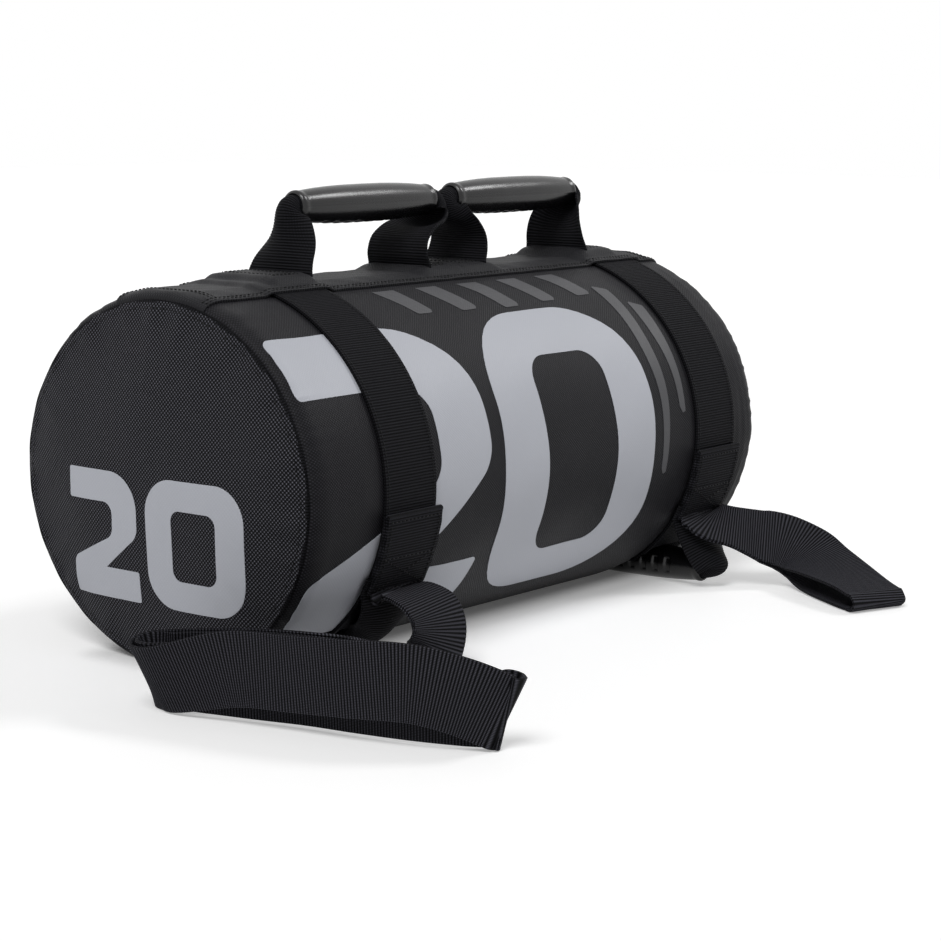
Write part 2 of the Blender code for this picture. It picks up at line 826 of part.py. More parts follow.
def make_slider(place, start, metal):
    """A slider that clasps the teeth, with a bail on top that holds the pull."""
    middle = start + slider_length
    pivot = make_pivot("zip_slider_pivot", place @ Vector((middle, 0, 0)))
    side = tooth_reach + slider_clearance
    roof = tooth_height + slider_clearance
    top = roof + slider_wall
    half = slider_length / 2
    low = (middle - half, -side - slider_wall, fit_gap)
    high = (middle + half, side + slider_wall, top)
    channel = ((middle - 2 * half, -side, -roof), (middle + 2 * half, side, roof))
    slider = boxes("zip_slider", [(low, high)], place, metal, pivot)
    cutter = boxes("slider_channel_cutter", [channel], place, metal, pivot)
    bail_half = bail_length / 2
    bail_top = top + bail_opening + bail_bar
    outline = [
        (middle - bail_half, top - fit_gap), (middle + bail_half, top - fit_gap),
        (middle + bail_half, bail_top), (middle - bail_half, bail_top),
    ]
    inner = bail_half - bail_bar
    hole = [
        (middle - inner, top), (middle + inner, top),
        (middle + inner, bail_top - bail_bar), (middle - inner, bail_top - bail_bar),
    ]
    bail = outline_solid(
        "slider_bail_form", outline, -bail_width / 2, bail_width / 2, place, metal, pivot, hole
    )
    for tool, operation in ((cutter, "DIFFERENCE"), (bail, "UNION")):
        tool.hide_render = True
        tool.display_type = "WIRE"
        cut = slider.modifiers.new(tool.name, "BOOLEAN")
        cut.operation = operation
        cut.object = tool
    make_pull(place, middle, top, metal)


def make_pull(place, middle, top, metal):
    """A flat pull whose end bar lies in the bail; it turns about that bar."""
    height = top + bail_opening / 2
    centre = place @ Vector((middle, 0, height))
    pivot = make_pivot("zip_pull_pivot", centre)
    half_bar = pull_bar / 2
    outer = [
        (middle - pull_length, -pull_width / 2), (middle + half_bar, -pull_width / 2),
        (middle + half_bar, pull_width / 2), (middle - pull_length, pull_width / 2),
    ]
    window = [
        (middle - half_bar - pull_window_length, -pull_window_width / 2),
        (middle - half_bar, -pull_window_width / 2),
        (middle - half_bar, pull_window_width / 2),
        (middle - half_bar - pull_window_length, pull_window_width / 2),
    ]
    swap = Matrix(((1, 0, 0, 0), (0, 0, 1, 0), (0, 1, 0, 0), (0, 0, 0, 1)))
    outline_solid(
        "zip_pull", outer, height - half_bar, height + half_bar, place @ swap, metal, pivot, window
    )


def main():
    clear_scene()
    fabric = make_material("coated_side_fabric", (0.025, 0.026, 0.029), 0.62)
    end_fabric = make_material("ballistic_end_fabric", (0.018, 0.019, 0.021), 0.7)
    tape = make_material("black_webbing", (0.016, 0.017, 0.019), 0.8)
    rubber = make_material("moulded_rubber", (0.02, 0.02, 0.022), 0.42)
    inner_fabric = make_material("grey_pouch_fabric", (0.2, 0.2, 0.2), 0.85)
    metal = make_material("blackened_metal", (0.08, 0.08, 0.08), 0.4, 1)
    stations = bag_stations()
    make_shell(stations, fabric, end_fabric)
    make_filling(stations, inner_fabric, tape)
    make_strip(stations, fabric)
    make_bands(tape)
    make_patches(tape)
    make_zip(tape, metal)
    for name, handle in top_handles.items():
        make_top_handle(name, handle["grip_x"], handle["feet"], handle["bend_shares"], rubber, tape)
    for name, band in bands.items():
        make_lower_handle(name, band, lower_leg_bend_shares[name], rubber, tape)
        strap = straps[name]
        make_strap(name, band, strap["root_shares"], strap["loop_shares"], strap["gap"], tape)


if __name__ == "__main__":
    main()
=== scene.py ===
"""Sandbag trainer: fabric, webbing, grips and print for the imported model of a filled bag."""

import math

import bmesh
import bpy
import numpy as np
from bpy.props import FloatProperty, FloatVectorProperty, IntProperty, PointerProperty
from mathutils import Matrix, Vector


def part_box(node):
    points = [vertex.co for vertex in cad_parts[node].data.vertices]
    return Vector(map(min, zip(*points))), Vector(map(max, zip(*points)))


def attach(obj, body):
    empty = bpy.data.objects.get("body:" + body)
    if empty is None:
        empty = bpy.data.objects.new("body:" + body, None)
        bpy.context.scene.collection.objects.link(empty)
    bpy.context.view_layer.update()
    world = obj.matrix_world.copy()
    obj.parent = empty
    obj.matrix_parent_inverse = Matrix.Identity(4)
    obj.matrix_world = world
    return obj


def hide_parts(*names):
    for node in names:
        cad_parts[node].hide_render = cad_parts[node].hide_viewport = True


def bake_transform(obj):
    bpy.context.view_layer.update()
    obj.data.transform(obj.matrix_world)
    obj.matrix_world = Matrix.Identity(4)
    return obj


bl_info = {
    "name": "Sandbag Trainer",
    "version": (1, 0, 0),
    "blender": (4, 5, 0),
    "location": "3D View > Sidebar > Sandbag",
    "description": "Builds a filled training bag with webbing, sleeve grips and printed numerals",
    "category": "Object",
}

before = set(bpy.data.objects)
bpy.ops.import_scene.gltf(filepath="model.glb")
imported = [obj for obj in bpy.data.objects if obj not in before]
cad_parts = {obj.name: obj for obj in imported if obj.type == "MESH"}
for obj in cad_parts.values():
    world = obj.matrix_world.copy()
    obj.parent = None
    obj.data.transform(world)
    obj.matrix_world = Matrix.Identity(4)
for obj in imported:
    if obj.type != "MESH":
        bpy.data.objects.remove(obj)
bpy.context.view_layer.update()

# Air left between pieces that lie on each other
clearance = 0.0003


def length(name, text, value):
    return FloatProperty(name=name, description=text, default=value, unit="LENGTH", precision=4)


def colour(name, text, value):
    return FloatVectorProperty(
        name=name, description=text, default=value, subtype="COLOR", size=3, min=0, max=1
    )


class BagSettings(bpy.types.PropertyGroup):
    length: length("Length", "Distance between the two rims", 0.480)
    height: length("Height", "Height of the filled bag", 0.2365)
    width: length("Width", "Width of the filled bag", 0.263)
    floor_settle: length("Belly settle", "How far the belly is flattened", 0.006)
    top_settle: length("Top settle", "How far the top is flattened", 0.0015)
    rim_radius: length("Rim radius", "Rounding along the bag at each rim", 0.012)
    rim_draw: length("Rim draw", "How far each rim is drawn in", 0.006)
    end_dome: length("End dome", "How far each end panel stands out", 0.010)
    wall: length("Fabric thickness", "Thickness of the shell fabric", 0.0014)
    strip: length("Strip thickness", "Thickness of the top strip", 0.0016)
    fold_depth: length("Fold depth", "Depth of the fabric's soft folds", 0.0016)
    weave_pitch: length("Weave pitch", "Distance between the side fabric's threads", 0.0011)
    end_pitch: length("End weave pitch", "Distance between the end fabric's threads", 0.00135)
    fabric: colour("Side fabric", "Colour of the side fabric", (0.0048, 0.0047, 0.0057))
    ends: colour("End fabric", "Colour of the end fabric", (0.0017, 0.0017, 0.0020))
    strip_colour: colour("Strip fabric", "Colour of the top strip", (0.0098, 0.0098, 0.0115))


class WebbingSettings(bpy.types.PropertyGroup):
    band_width: length("Band width", "Width of the bands round the bag", 0.048)
    width: length("Webbing width", "Width of the handle webbing", 0.050)
    strap_width: length("Strap width", "Width of the straps on the floor", 0.046)
    thickness: length("Webbing thickness", "Thickness of one layer", 0.0022)
    near_x: length("Near band", "Place of the near band along the bag", -0.156)
    far_x: length("Far band", "Place of the far band along the bag", 0.183)
    rib_pitch: length("Rib pitch", "Distance between the woven ribs", 0.0019)
    rib_height: length("Rib height", "Height of a woven rib", 0.00042)
    stitch_pitch: length("Stitch pitch", "Distance between stitches", 0.0036)
    thread: length("Thread thickness", "Thickness of the sewing thread", 0.0007)
    tape: colour("Webbing", "Colour of the webbing", (0.0015, 0.0015, 0.0018))
    thread_colour: colour("Thread", "Colour of the sewing thread", (0.0042, 0.0042, 0.0046))


class GripSettings(bpy.types.PropertyGroup):
    length: length("Grip length", "Length of a sleeve grip", 0.136)
    diameter: length("Grip diameter", "Diameter at a grip's middle", 0.026)
    mouth: length("Mouth diameter", "Diameter near a grip's ends", 0.0198)
    bore: length("Bore diameter", "Diameter of the hole through a grip", 0.0162)
    rib_pitch: length("Groove pitch", "Distance between the finger grooves", 0.0105)
    rib_depth: length("Groove depth", "Depth of the finger grooves", 0.0012)
    grooves: IntProperty(name="Grooves", description="Finger grooves on one grip", default=9)
    rubber: colour("Rubber", "Colour of the grips", (0.0034, 0.0034, 0.0039))


class PrintSettings(bpy.types.PropertyGroup):
    side_top: FloatProperty(
        name="Side print top", description="Angle from the top where the numerals start",
        default=math.radians(38.5), subtype="ANGLE",
    )
    side_height: length("Side numerals", "Height of the side numerals round the bag", 0.218)
    end_height: length("End numerals", "Height of the numerals on the end panel", 0.083)
    ink: colour("Light ink", "Colour of the printed numerals", (0.51, 0.525, 0.575))
    bars: colour("Dark ink", "Colour of the printed bars", (0.070, 0.070, 0.076))


class StageSettings(bpy.types.PropertyGroup):
    floor_size: length("Floor size", "Length of the floor's side", 14.0)
    lens: FloatProperty(name="Lens", description="Focal length in millimetres", default=91.82)
    key: FloatProperty(name="Key light", description="Strength of the light above", default=1.6)
    rim: FloatProperty(name="Rim light", description="Strength of the light behind", default=0.75)
    fill: FloatProperty(
        name="Fill light", description="Strength of the world's light", default=0.23
    )
    glow: FloatProperty(
        name="Floor glow", description="The floor's own light, as seen", default=0.31
    )
    # Below the bag the floor's glow is lowered, which paints a contact shadow there
    painted_shadow_glow: FloatProperty(
        name="Painted shadow glow", description="The floor's own light below the bag", default=0.06
    )
    painted_shadow_width: length("Painted shadow width", "Width of the darker floor below the bag", 0.10)
    painted_shadow_fade: length("Painted shadow fade", "Distance over which the floor's glow returns", 0.03)


# Measures that follow from the settings

# Where the middle of each lower grip lies across the bag
band_grips = {"near": -0.006, "far": -0.058}
# The zip's ends, in shares of the way between the bands, and its edges behind the top
zip_shares = (0.12, 0.87)
zip_angles = (math.radians(45), math.radians(54))
# Half of the top strip, and where the patches begin and end, turned from the top
strip_angle = math.radians(18)
patch_angles = (math.radians(96), math.radians(120))
# Columns of the mesh round the bag
turns = 240
# Turns angles into lengths on pieces whose weave is hardly seen
bend_radius = 0.12
# Edges that bend by more than this are shaded sharp
sharp_bend = math.radians(55)


def settings(*names):
    """The scene's settings of that name, or a list of them for more names."""
    found = [getattr(bpy.context.scene, f"sandbag_{name}") for name in names]
    return found if len(found) > 1 else found[0]


def band_places():
    web = settings("webbing")
    return {"near": web.near_x, "far": web.far_x}


def top_of_bag(bag):
    return (bag.height + bag.floor_settle + bag.top_settle) / 2


def middle_height(bag):
    return top_of_bag(bag) - bag.floor_settle


def mean_radius(bag):
    """Turns angles into lengths round the bag."""
    return (bag.width + bag.height) / 4


def around(count):
    return 2 * math.pi * np.arange(count) / count


def ease(share):
    share = np.clip(share, 0, 1)
    return share * share * (3 - 2 * share)


def ramp(value, full, none):
    """One up to full and nothing from none on."""
    return ease((none - value) / (none - full))


def bell(value, middle, width):
    return np.exp(-(((value - middle) / width) ** 2))


def floor_rise(x, y):
    """How far the belly is lifted over the bands, the lower grips and their legs."""
    web, grip = settings("webbing", "grip")
    edge, flare = web.band_width / 2, 0.010
    side_room, end_room = 0.003, 0.050
    flat = 2 * web.thickness + 3 * clearance
    tall = grip.diameter + web.thickness + 3 * clearance
    rise = np.zeros(np.broadcast(x, y).shape)
    for name, place in band_places().items():
        away = np.abs(x - place)
        past = np.maximum(np.abs(y - band_grips[name]) - grip.length / 2, 0)
        tunnel = tall * ramp(away, grip.diameter / 2 + side_room, edge + flare)
        tunnel = tunnel * ramp(past, web.width / 4, end_room)
        rise = np.maximum(rise, np.maximum(flat * ramp(away, edge, edge + flare), tunnel))
    return rise


def skin(x, angle, lift=0.0):
    """Points of the bag's surface; angle 0 is the top and turns towards the rear."""
    bag = settings("bag")
    x, angle, lift = np.broadcast_arrays(*(np.asarray(v, float) for v in (x, angle, lift)))
    beyond = np.clip((np.abs(x) - (bag.length / 2 - bag.rim_radius)) / bag.rim_radius, 0, 1)
    inset = bag.rim_draw * (1 - np.sqrt(1 - beyond ** 2))
    y = (bag.width / 2 - inset + lift) * np.sin(angle)
    z = middle_height(bag) + (top_of_bag(bag) - inset + lift) * np.cos(angle)
    z = np.minimum(z, bag.height + lift)
    z = np.maximum(z, floor_rise(x, y) - lift)
    return np.stack([x, y, z], -1)


# Ridges round the rims: place along the bag and size. Dents: place along the bag and its
# width, angle and its width, and size
rim_ridges = ((0.2145, 1.0), (0.2235, 0.8), (0.2318, 0.7), (-0.2255, 0.45))
side_dents = ((-0.205, 0.02, -0.75, 0.28, 1.6), (0.135, 0.025, -1.75, 0.35, 1.2))
highest_fold = 0.5


def folds(x, angle):
    """The soft folds of the fabric, nothing under the bands, the strip and the zip."""
    bag, web = settings("bag", "webbing")
    edge = web.band_width / 2
    free = np.ones(np.broadcast(x, angle).shape)
    for place in band_places().values():
        free = free * (1 - ramp(np.abs(x - place), edge + 0.002, edge + 0.016))
    turn = np.abs(np.arctan2(np.sin(angle), np.cos(angle)))
    free = free * (1 - ramp(turn, strip_angle + 0.03, strip_angle + 0.16)) * ramp(turn, 2.1, 2.5)
    zip_away = np.maximum(zip_angles[0] - angle, angle - zip_angles[1])
    free = free * np.where(angle > 0, 1 - ramp(zip_away, 0.02, 0.10), 1)
    broad = np.sin(x * 41 + 2.1 * np.sin(angle * 2.3)) * np.sin(angle * 3.1 + x * 17 + 0.6)
    broad = broad + 0.6 * np.sin(x * 73 - angle * 5.2 + 1.1) * np.sin(angle * 7.1 + 0.4)
    pucker = np.sin(angle * 31 + 3 * np.sin(angle * 5)) + 0.6 * np.sin(angle * 47 + 1.3)
    pucker = pucker * np.exp(-(bag.length / 2 - np.abs(x)) / 0.014)
    ridge = np.zeros_like(free)
    for place, size in rim_ridges:
        wander = 0.0016 * np.sin(angle * 3.3 + place * 90)
        ridge = ridge + size * bell(x - wander, place, 0.0021)
    ridge = ridge * (0.55 + 0.45 * np.sin(angle * 2.2 + 0.5))
    dent = -sum(
        size * bell(x, place, wide) * bell(angle, low, tall)
        for place, wide, low, tall, size in side_dents
    )
    depth = 0.42 * broad - 0.45 * np.abs(pucker) + 0.42 * ridge + 0.5 * dent
    return bag.fold_depth * free * np.minimum(depth, highest_fold)


def cloth(x, angle, lift=0.0):
    return skin(x, angle, folds(np.asarray(x, float), np.asarray(angle, float)) + lift)


# Meshes


def make_piece(name, points, faces, material, surface, ribbed=None):
    """A mesh object at the origin; surface holds each point's place on its cloth."""
    points = np.array(points, float).reshape(-1, 3)
    points[:, 2] = np.maximum(points[:, 2], clearance)
    mesh = bpy.data.meshes.new(name)
    mesh.from_pydata(points.tolist(), [], [list(map(int, face)) for face in faces])
    for label, kind, part, values in (
        ("surface", "FLOAT_VECTOR", "vector", surface), ("ribbed", "FLOAT", "value", ribbed)
    ):
        if values is not None:
            layer = mesh.attributes.new(label, kind, "POINT")
            layer.data.foreach_set(part, np.asarray(values, np.float32).ravel())
    piece = bpy.data.objects.new(name, mesh)
    bpy.context.scene.collection.objects.link(piece)
    mesh.shade_smooth()
    mesh.set_sharp_from_angle(angle=sharp_bend)
    mesh.materials.append(material)
    mesh.validate()
    shape = bmesh.new()
    shape.from_mesh(mesh)
    bmesh.ops.recalc_face_normals(shape, faces=shape.faces)
    shape.to_mesh(mesh)
    shape.free()
    return piece


def cloth_places(along, across):
    """Places on a cloth laid flat, which its weave follows."""
    along, across = np.broadcast_arrays(along, across)
    return np.stack([along, across, np.zeros(along.shape)], -1)


def ring_faces(rings, count, closed=False):
    """Faces between rings of so many points; closed joins the last ring to the first."""
    faces = []
    for row in range(rings if closed else rings - 1):
        base, above = row * count, (row + 1) % rings * count
        for k in range(count):
            after = (k + 1) % count
            faces.append([base + k, base + after, above + after, above + k])
    return faces


def fan(hub, ring):
    return [[hub, ring[k], ring[(k + 1) % len(ring)]] for k in range(len(ring))]


def sheet_faces(rows, columns, closed, present=None):
    """Faces of a double-walled grid: its outer points, then as many inner points."""
    layer = rows * columns
    width = columns if closed else columns - 1
    shown = np.ones((rows - 1, width), bool) if present is None else present
    faces = []

    def corner(row, column, deep):
        return deep * layer + row * columns + column % columns

    def there(row, column):
        if closed:
            column %= columns
        return 0 <= row < rows - 1 and 0 <= column < width and shown[row, column]

    for row, column in np.argwhere(shown):
        loop = [(row, column), (row + 1, column), (row + 1, column + 1), (row, column + 1)]
        faces.append([corner(*place, 0) for place in loop])
        faces.append([corner(*place, 1) for place in reversed(loop)])
        beyond = [(row, column - 1), (row + 1, column), (row, column + 1), (row - 1, column)]
        for edge, place in enumerate(beyond):
            if not there(*place):
                start, end = loop[edge], loop[(edge + 1) % 4]
                faces.append([
                    corner(*start, 1), corner(*end, 1), corner(*end, 0), corner(*start, 0)
                ])
    return faces


def double_wall(name, outer, inner, surface, material, closed, present=None):
    """Cloth with an outer and an inner face, without the points that no face uses."""
    points = np.concatenate([outer.reshape(-1, 3), inner.reshape(-1, 3)])
    places = np.concatenate([surface.reshape(-1, 3)] * 2)
    used, faces = np.unique(
        sheet_faces(*outer.shape[:2], closed, present), return_inverse=True
    )
    return make_piece(name, points[used], faces.reshape(-1, 4), material, places[used])


def refine(points, steps):
    """A smooth curve through the points, with so many steps between each two."""
    points = np.asarray(points, float)
    padded = np.concatenate([2 * points[:1] - points[1:2], points, 2 * points[-1:] - points[-2:-1]])
    share = (np.arange(steps) / steps)[:, None]
    run = []
    for leg in range(len(points) - 1):
        near = padded[leg:leg + 4]
        pull = near[2] - near[0]
        curve = 2 * near[0] - 5 * near[1] + 4 * near[2] - near[3]
        twist = 3 * near[1] - near[0] - 3 * near[2] + near[3]
        run.append((2 * near[1] + pull * share + curve * share ** 2 + twist * share ** 3) / 2)
    return np.concatenate([*run, points[-1:]])


def refine_straight(corners, steps):
    """Points along straight runs between corners."""
    share = (np.arange(steps) / steps)[:, None]
    corners = np.asarray(corners, float)
    runs = [start * (1 - share) + end * share for start, end in zip(corners, corners[1:])]
    return np.concatenate([*runs, corners[-1:]])


def lengths_gone(points):
    steps = np.linalg.norm(np.diff(points, axis=0), axis=1)
    return np.concatenate([[0], np.cumsum(steps)])


def even_steps(rows, pitch):
    """Rows that begin with a place, again in equal steps of about pitch along their path."""
    gone = lengths_gone(rows[:, :3])
    at = np.linspace(0, gone[-1], max(round(gone[-1] / pitch), 2) + 1)
    return at, np.stack([np.interp(at, gone, column) for column in rows.T], -1)


def unit(vectors):
    return vectors / np.linalg.norm(vectors, axis=-1, keepdims=True)


def tape_ring(columns, trim, edge_rib, low, under_rib):
    """A webbing's section: shares of its width, of its height, and of the ribs' height."""
    share = np.linspace(-1, 1, columns)
    across = share * (1 - trim * (np.abs(share) == 1))
    ribs = np.where(np.abs(share) == 1, edge_rib, 1.0)
    side = [(1 + low) / 2]
    return (
        np.concatenate([across, [1.0], across[::-1], [-1.0]]),
        np.concatenate([np.ones(columns), side, np.full(columns, low), side]),
        np.concatenate([ribs, [0.0], ribs[::-1] * under_rib, [0.0]]),
    )


def ribbon(name, centres, sides, widths, depths, curls, pitch, material, columns=13):
    """Webbing along a path: flat, or curled about its length, with ribs across it."""
    sizes = np.stack(np.broadcast_arrays(widths, depths, curls, np.zeros(len(centres)))[:3], -1)
    rows = refine(np.concatenate([centres, sides, sizes], axis=1), 6)
    along, rows = even_steps(rows, pitch / 4)
    path, side = rows[:, :3], rows[:, 3:6]
    width, depth, curl = rows[:, 6:].T
    heading = unit(np.gradient(path, axis=0))
    side = unit(side - heading * (side * heading).sum(-1, keepdims=True))
    out = np.cross(heading, side)
    places, heights, ribs = tape_ring(columns, 0.02, 0.35, -1.0, 1.0)
    arc = places[None, :] * width[:, None] / 2
    bend = np.maximum(curl, 1e-3)[:, None]
    turn = arc * bend
    normal = out[:, None] * np.cos(turn)[..., None] + side[:, None] * np.sin(turn)[..., None]
    points = path[:, None] + side[:, None] * (np.sin(turn) / bend)[..., None]
    points = points + out[:, None] * ((np.cos(turn) - 1) / bend)[..., None]
    points = points + normal * (heights[None, :] * depth[:, None] / 2)[..., None]
    rings, count = arc.shape
    faces = ring_faces(rings, count)
    for base in (0, (rings - 1) * count):
        for k in range(columns - 1):
            far = base + 2 * columns - k
            faces.append([base + k, base + k + 1, far - 1, far])
        faces.append([base + columns - 1, base + columns, base + columns + 1])
        faces.append([base, base + 2 * columns, base + 2 * columns + 1])
    surface = cloth_places(along[:, None], arc)
    return make_piece(name, points, faces, material, surface, np.tile(ribs, rings))


# Node trees


def feed(tree, socket, value):
    """Links a node or an output to the socket, or sets the socket's own value."""
    if isinstance(value, bpy.types.Node):
        value = value.outputs[0]
    if isinstance(value, bpy.types.NodeSocket):
        tree.links.new(value, socket)
    else:
        socket.default_value = value


def add_node(tree, kind, inputs=None, **options):
    node = tree.nodes.new(kind)
    for option, value in options.items():
        setattr(node, option, value)
    for name, value in (inputs or {}).items():
        feed(tree, node.inputs[name], value)
    return node


def math_node(tree, operation, *values):
    return add_node(tree, "ShaderNodeMath", dict(enumerate(values)), operation=operation).outputs[0]


def shared_tree(name, kind, inputs, outputs, fill):
    """The tree of that name, made on its first use; fill gives what each output carries.

    An input is given by its default, or by its kind where it has none.
    """
    tree = bpy.data.node_groups.get(name)
    if tree:
        return tree
    tree = bpy.data.node_groups.new(name, f"{kind}NodeTree")
    for label, value in inputs.items():
        sort = "Float" if isinstance(value, float) else value
        socket = tree.interface.new_socket(label, in_out="INPUT", socket_type=f"NodeSocket{sort}")
        if sort == "Float":
            socket.default_value = value
    for label, sort in outputs.items():
        tree.interface.new_socket(label, in_out="OUTPUT", socket_type=f"NodeSocket{sort}")
    given, made = tree.nodes.new("NodeGroupInput"), tree.nodes.new("NodeGroupOutput")
    for label, value in zip(outputs, fill(tree, given.outputs)):
        feed(tree, made.inputs[label], value)
    return tree


def painted(tree, shape, given):
    material = given["Material"]
    return add_node(tree, "GeometryNodeSetMaterial", {"Geometry": shape, "Material": material})


def rib_tree():
    """Raises ribs across a webbing by the length gone along it."""

    def fill(tree, given):
        place, ribbed = (
            add_node(
                tree, "GeometryNodeInputNamedAttribute", {"Name": name}, data_type=kind
            ).outputs["Attribute"]
            for name, kind in (("surface", "FLOAT_VECTOR"), ("ribbed", "FLOAT"))
        )
        along = add_node(tree, "ShaderNodeSeparateXYZ", {0: place}).outputs["X"]
        ribs = math_node(tree, "DIVIDE", along, given["Rib pitch"])
        wave = math_node(tree, "SINE", math_node(tree, "MULTIPLY", ribs, math.pi))
        ridge = math_node(tree, "SUBTRACT", math_node(tree, "ABSOLUTE", wave), 0.75)
        height = math_node(tree, "MULTIPLY", ridge, given["Rib height"])
        height = math_node(tree, "MULTIPLY", height, ribbed)
        normal = add_node(tree, "GeometryNodeInputNormal")
        offset = add_node(
            tree, "ShaderNodeVectorMath", {0: normal, "Scale": height}, operation="SCALE"
        )
        moved = add_node(
            tree, "GeometryNodeSetPosition", {"Geometry": given["Geometry"], "Offset": offset}
        )
        return [painted(tree, moved, given)]

    return shared_tree("Webbing ribs", "Geometry", {
        "Geometry": "Geometry", "Rib pitch": 0.0019, "Rib height": 0.0004, "Material": "Material",
    }, {"Geometry": "Geometry"}, fill)


def stitch_tree():
    """Sets a stitch at even steps along curves."""

    def fill(tree, given):
        steps_along = add_node(tree, "GeometryNodeResampleCurve", {
            "Curve": given["Geometry"], "Length": given["Stitch pitch"],
        }, mode="LENGTH")
        ball = add_node(tree, "GeometryNodeMeshUVSphere", {
            "Segments": 6, "Rings": 4, "Radius": 0.5,
        })
        tangent = add_node(tree, "GeometryNodeInputTangent")
        turn = add_node(tree, "FunctionNodeAlignRotationToVector", {"Vector": tangent}, axis="X")
        sizes = add_node(tree, "ShaderNodeCombineXYZ", {
            "X": given["Stitch length"], "Y": given["Thread"], "Z": given["Thread"],
        })
        placed = add_node(tree, "GeometryNodeInstanceOnPoints", {
            "Points": steps_along, "Instance": ball, "Rotation": turn, "Scale": sizes,
        })
        real = add_node(tree, "GeometryNodeRealizeInstances", {0: placed})
        return [painted(tree, add_node(tree, "GeometryNodeSetShadeSmooth", {0: real}), given)]

    return shared_tree("Stitch run", "Geometry", {
        "Geometry": "Geometry", "Stitch pitch": 0.0036, "Stitch length": 0.0027,
        "Thread": 0.0007, "Material": "Material",
    }, {"Geometry": "Geometry"}, fill)


def evaluated_mesh(shape):
    bpy.context.view_layer.update()
    return bpy.data.meshes.new_from_object(
        shape.evaluated_get(bpy.context.evaluated_depsgraph_get())
    )


def curve_object(name, runs, dimensions, closed=False):
    """A curve object with a straight-edged spline for each run of points."""
    curve = bpy.data.curves.new(name, "CURVE")
    curve.dimensions = dimensions
    for run in runs:
        spline = curve.splines.new("POLY")
        spline.points.add(len(run) - 1)
        places = np.concatenate([run, np.ones((len(run), 1))], axis=1)
        spline.points.foreach_set("co", places.ravel())
        spline.use_cyclic_u = closed
    shape = bpy.data.objects.new(name, curve)
    bpy.context.scene.collection.objects.link(shape)
    return shape


def apply_tree(piece, tree, values):
    """Runs a tree on an object and keeps the result as its plain mesh."""
    modifier = piece.modifiers.new(tree.name, "NODES")
    modifier.node_group = tree
    for item in tree.interface.items_tree:
        if item.in_out == "INPUT" and item.name in values:
            modifier[item.identifier] = values[item.name]
    result = evaluated_mesh(piece)
    name = piece.name
    if piece.type == "MESH":
        piece.modifiers.remove(modifier)
        piece.data = result
        return piece
    bpy.data.objects.remove(piece, do_unlink=True)
    made = bpy.data.objects.new(name, result)
    bpy.context.scene.collection.objects.link(made)
    return made


def rib(piece, share=1.0, pitch_share=1.0):
    web = settings("webbing")
    return apply_tree(piece, rib_tree(), {
        "Rib pitch": web.rib_pitch * pitch_share,
        "Rib height": web.rib_height * share,
        "Material": piece.data.materials[0],
    })


def sew(name, runs, body, pitch=None):
    """Rows of stitches along runs of points, as one mesh that rides on one body."""
    web = settings("webbing")
    pitch = pitch or web.stitch_pitch
    piece = apply_tree(curve_object(name, runs, "3D"), stitch_tree(), {
        "Stitch pitch": pitch, "Stitch length": pitch * 0.78, "Thread": web.thread,
        "Material": thread_finish(),
    })
    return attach(piece, body)


# Finishes


def thread_waves(group, given, *pitches):
    """Waves along and across the cloth, half a turn to each pitch."""
    split = add_node(group, "ShaderNodeSeparateXYZ", {0: given["Surface"]})
    for axis, pitch in zip("XY", pitches):
        threads = math_node(group, "DIVIDE", split.outputs[axis], given[pitch])
        yield math_node(group, "SINE", math_node(group, "MULTIPLY", threads, math.pi))


def weave_group():
    """Threads over and under each other, from a place on the cloth in metres."""

    def fill(group, given):
        product = math_node(group, "MULTIPLY", *thread_waves(group, given, "Pitch", "Pitch"))
        height = math_node(group, "MULTIPLY_ADD", product, 0.5, 0.5)
        # The second output marks the threads' crowns, which finishes paint lighter as highlights
        return height, math_node(group, "POWER", height, 3.5)

    return shared_tree("Woven threads", "Shader", {
        "Surface": "Vector", "Pitch": 0.0012,
    }, {"Height": "Float", "Crown": "Float"}, fill)


def yarn_group():
    """Webbing yarns: the ribs' grooves and the fine twist of the yarns that cross them."""

    def fill(group, given):
        ribs, yarns = thread_waves(group, given, "Rib pitch", "Yarn pitch")
        ridge, yarn = (math_node(group, "ABSOLUTE", wave) for wave in (ribs, yarns))
        slip = math_node(group, "MULTIPLY", ribs, 0.35)
        height = math_node(group, "ADD", math_node(group, "MULTIPLY", ridge, yarn), slip)
        # The second output marks the ribs' crowns, which finishes paint lighter as highlights
        return height, math_node(group, "MULTIPLY", math_node(group, "POWER", ridge, 3.0), yarn)

    return shared_tree("Webbing yarns", "Shader", {
        "Surface": "Vector", "Rib pitch": 0.0019, "Yarn pitch": 0.00095,
    }, {"Height": "Float", "Crown": "Float"}, fill)


def handling_group():
    """Uneven shade, fine fuzz and soft dents from handling, in object space."""

    def fill(group, given):
        place = add_node(group, "ShaderNodeTexCoord").outputs["Object"]
        for size, detail in (("Patch size", 4.0), ("Fuzz size", 2.0)):
            scale = math_node(group, "DIVIDE", 1.0, given[size])
            yield add_node(
                group, "ShaderNodeTexNoise", {"Vector": place, "Scale": scale, "Detail": detail}
            ).outputs["Fac"]

    return shared_tree("Handling marks", "Shader", {
        "Patch size": 0.09, "Fuzz size": 0.0016,
    }, {"Shade": "Float", "Fuzz": "Float"}, fill)


def blend_colour(tree, factor, first, second):
    mix = add_node(
        tree, "ShaderNodeMix", {"Factor": factor, 6: first, 7: second}, data_type="RGBA"
    )
    return mix.outputs[2]


def lighter(tint, share):
    return (*(min(part * share, 1) for part in tint), 1)


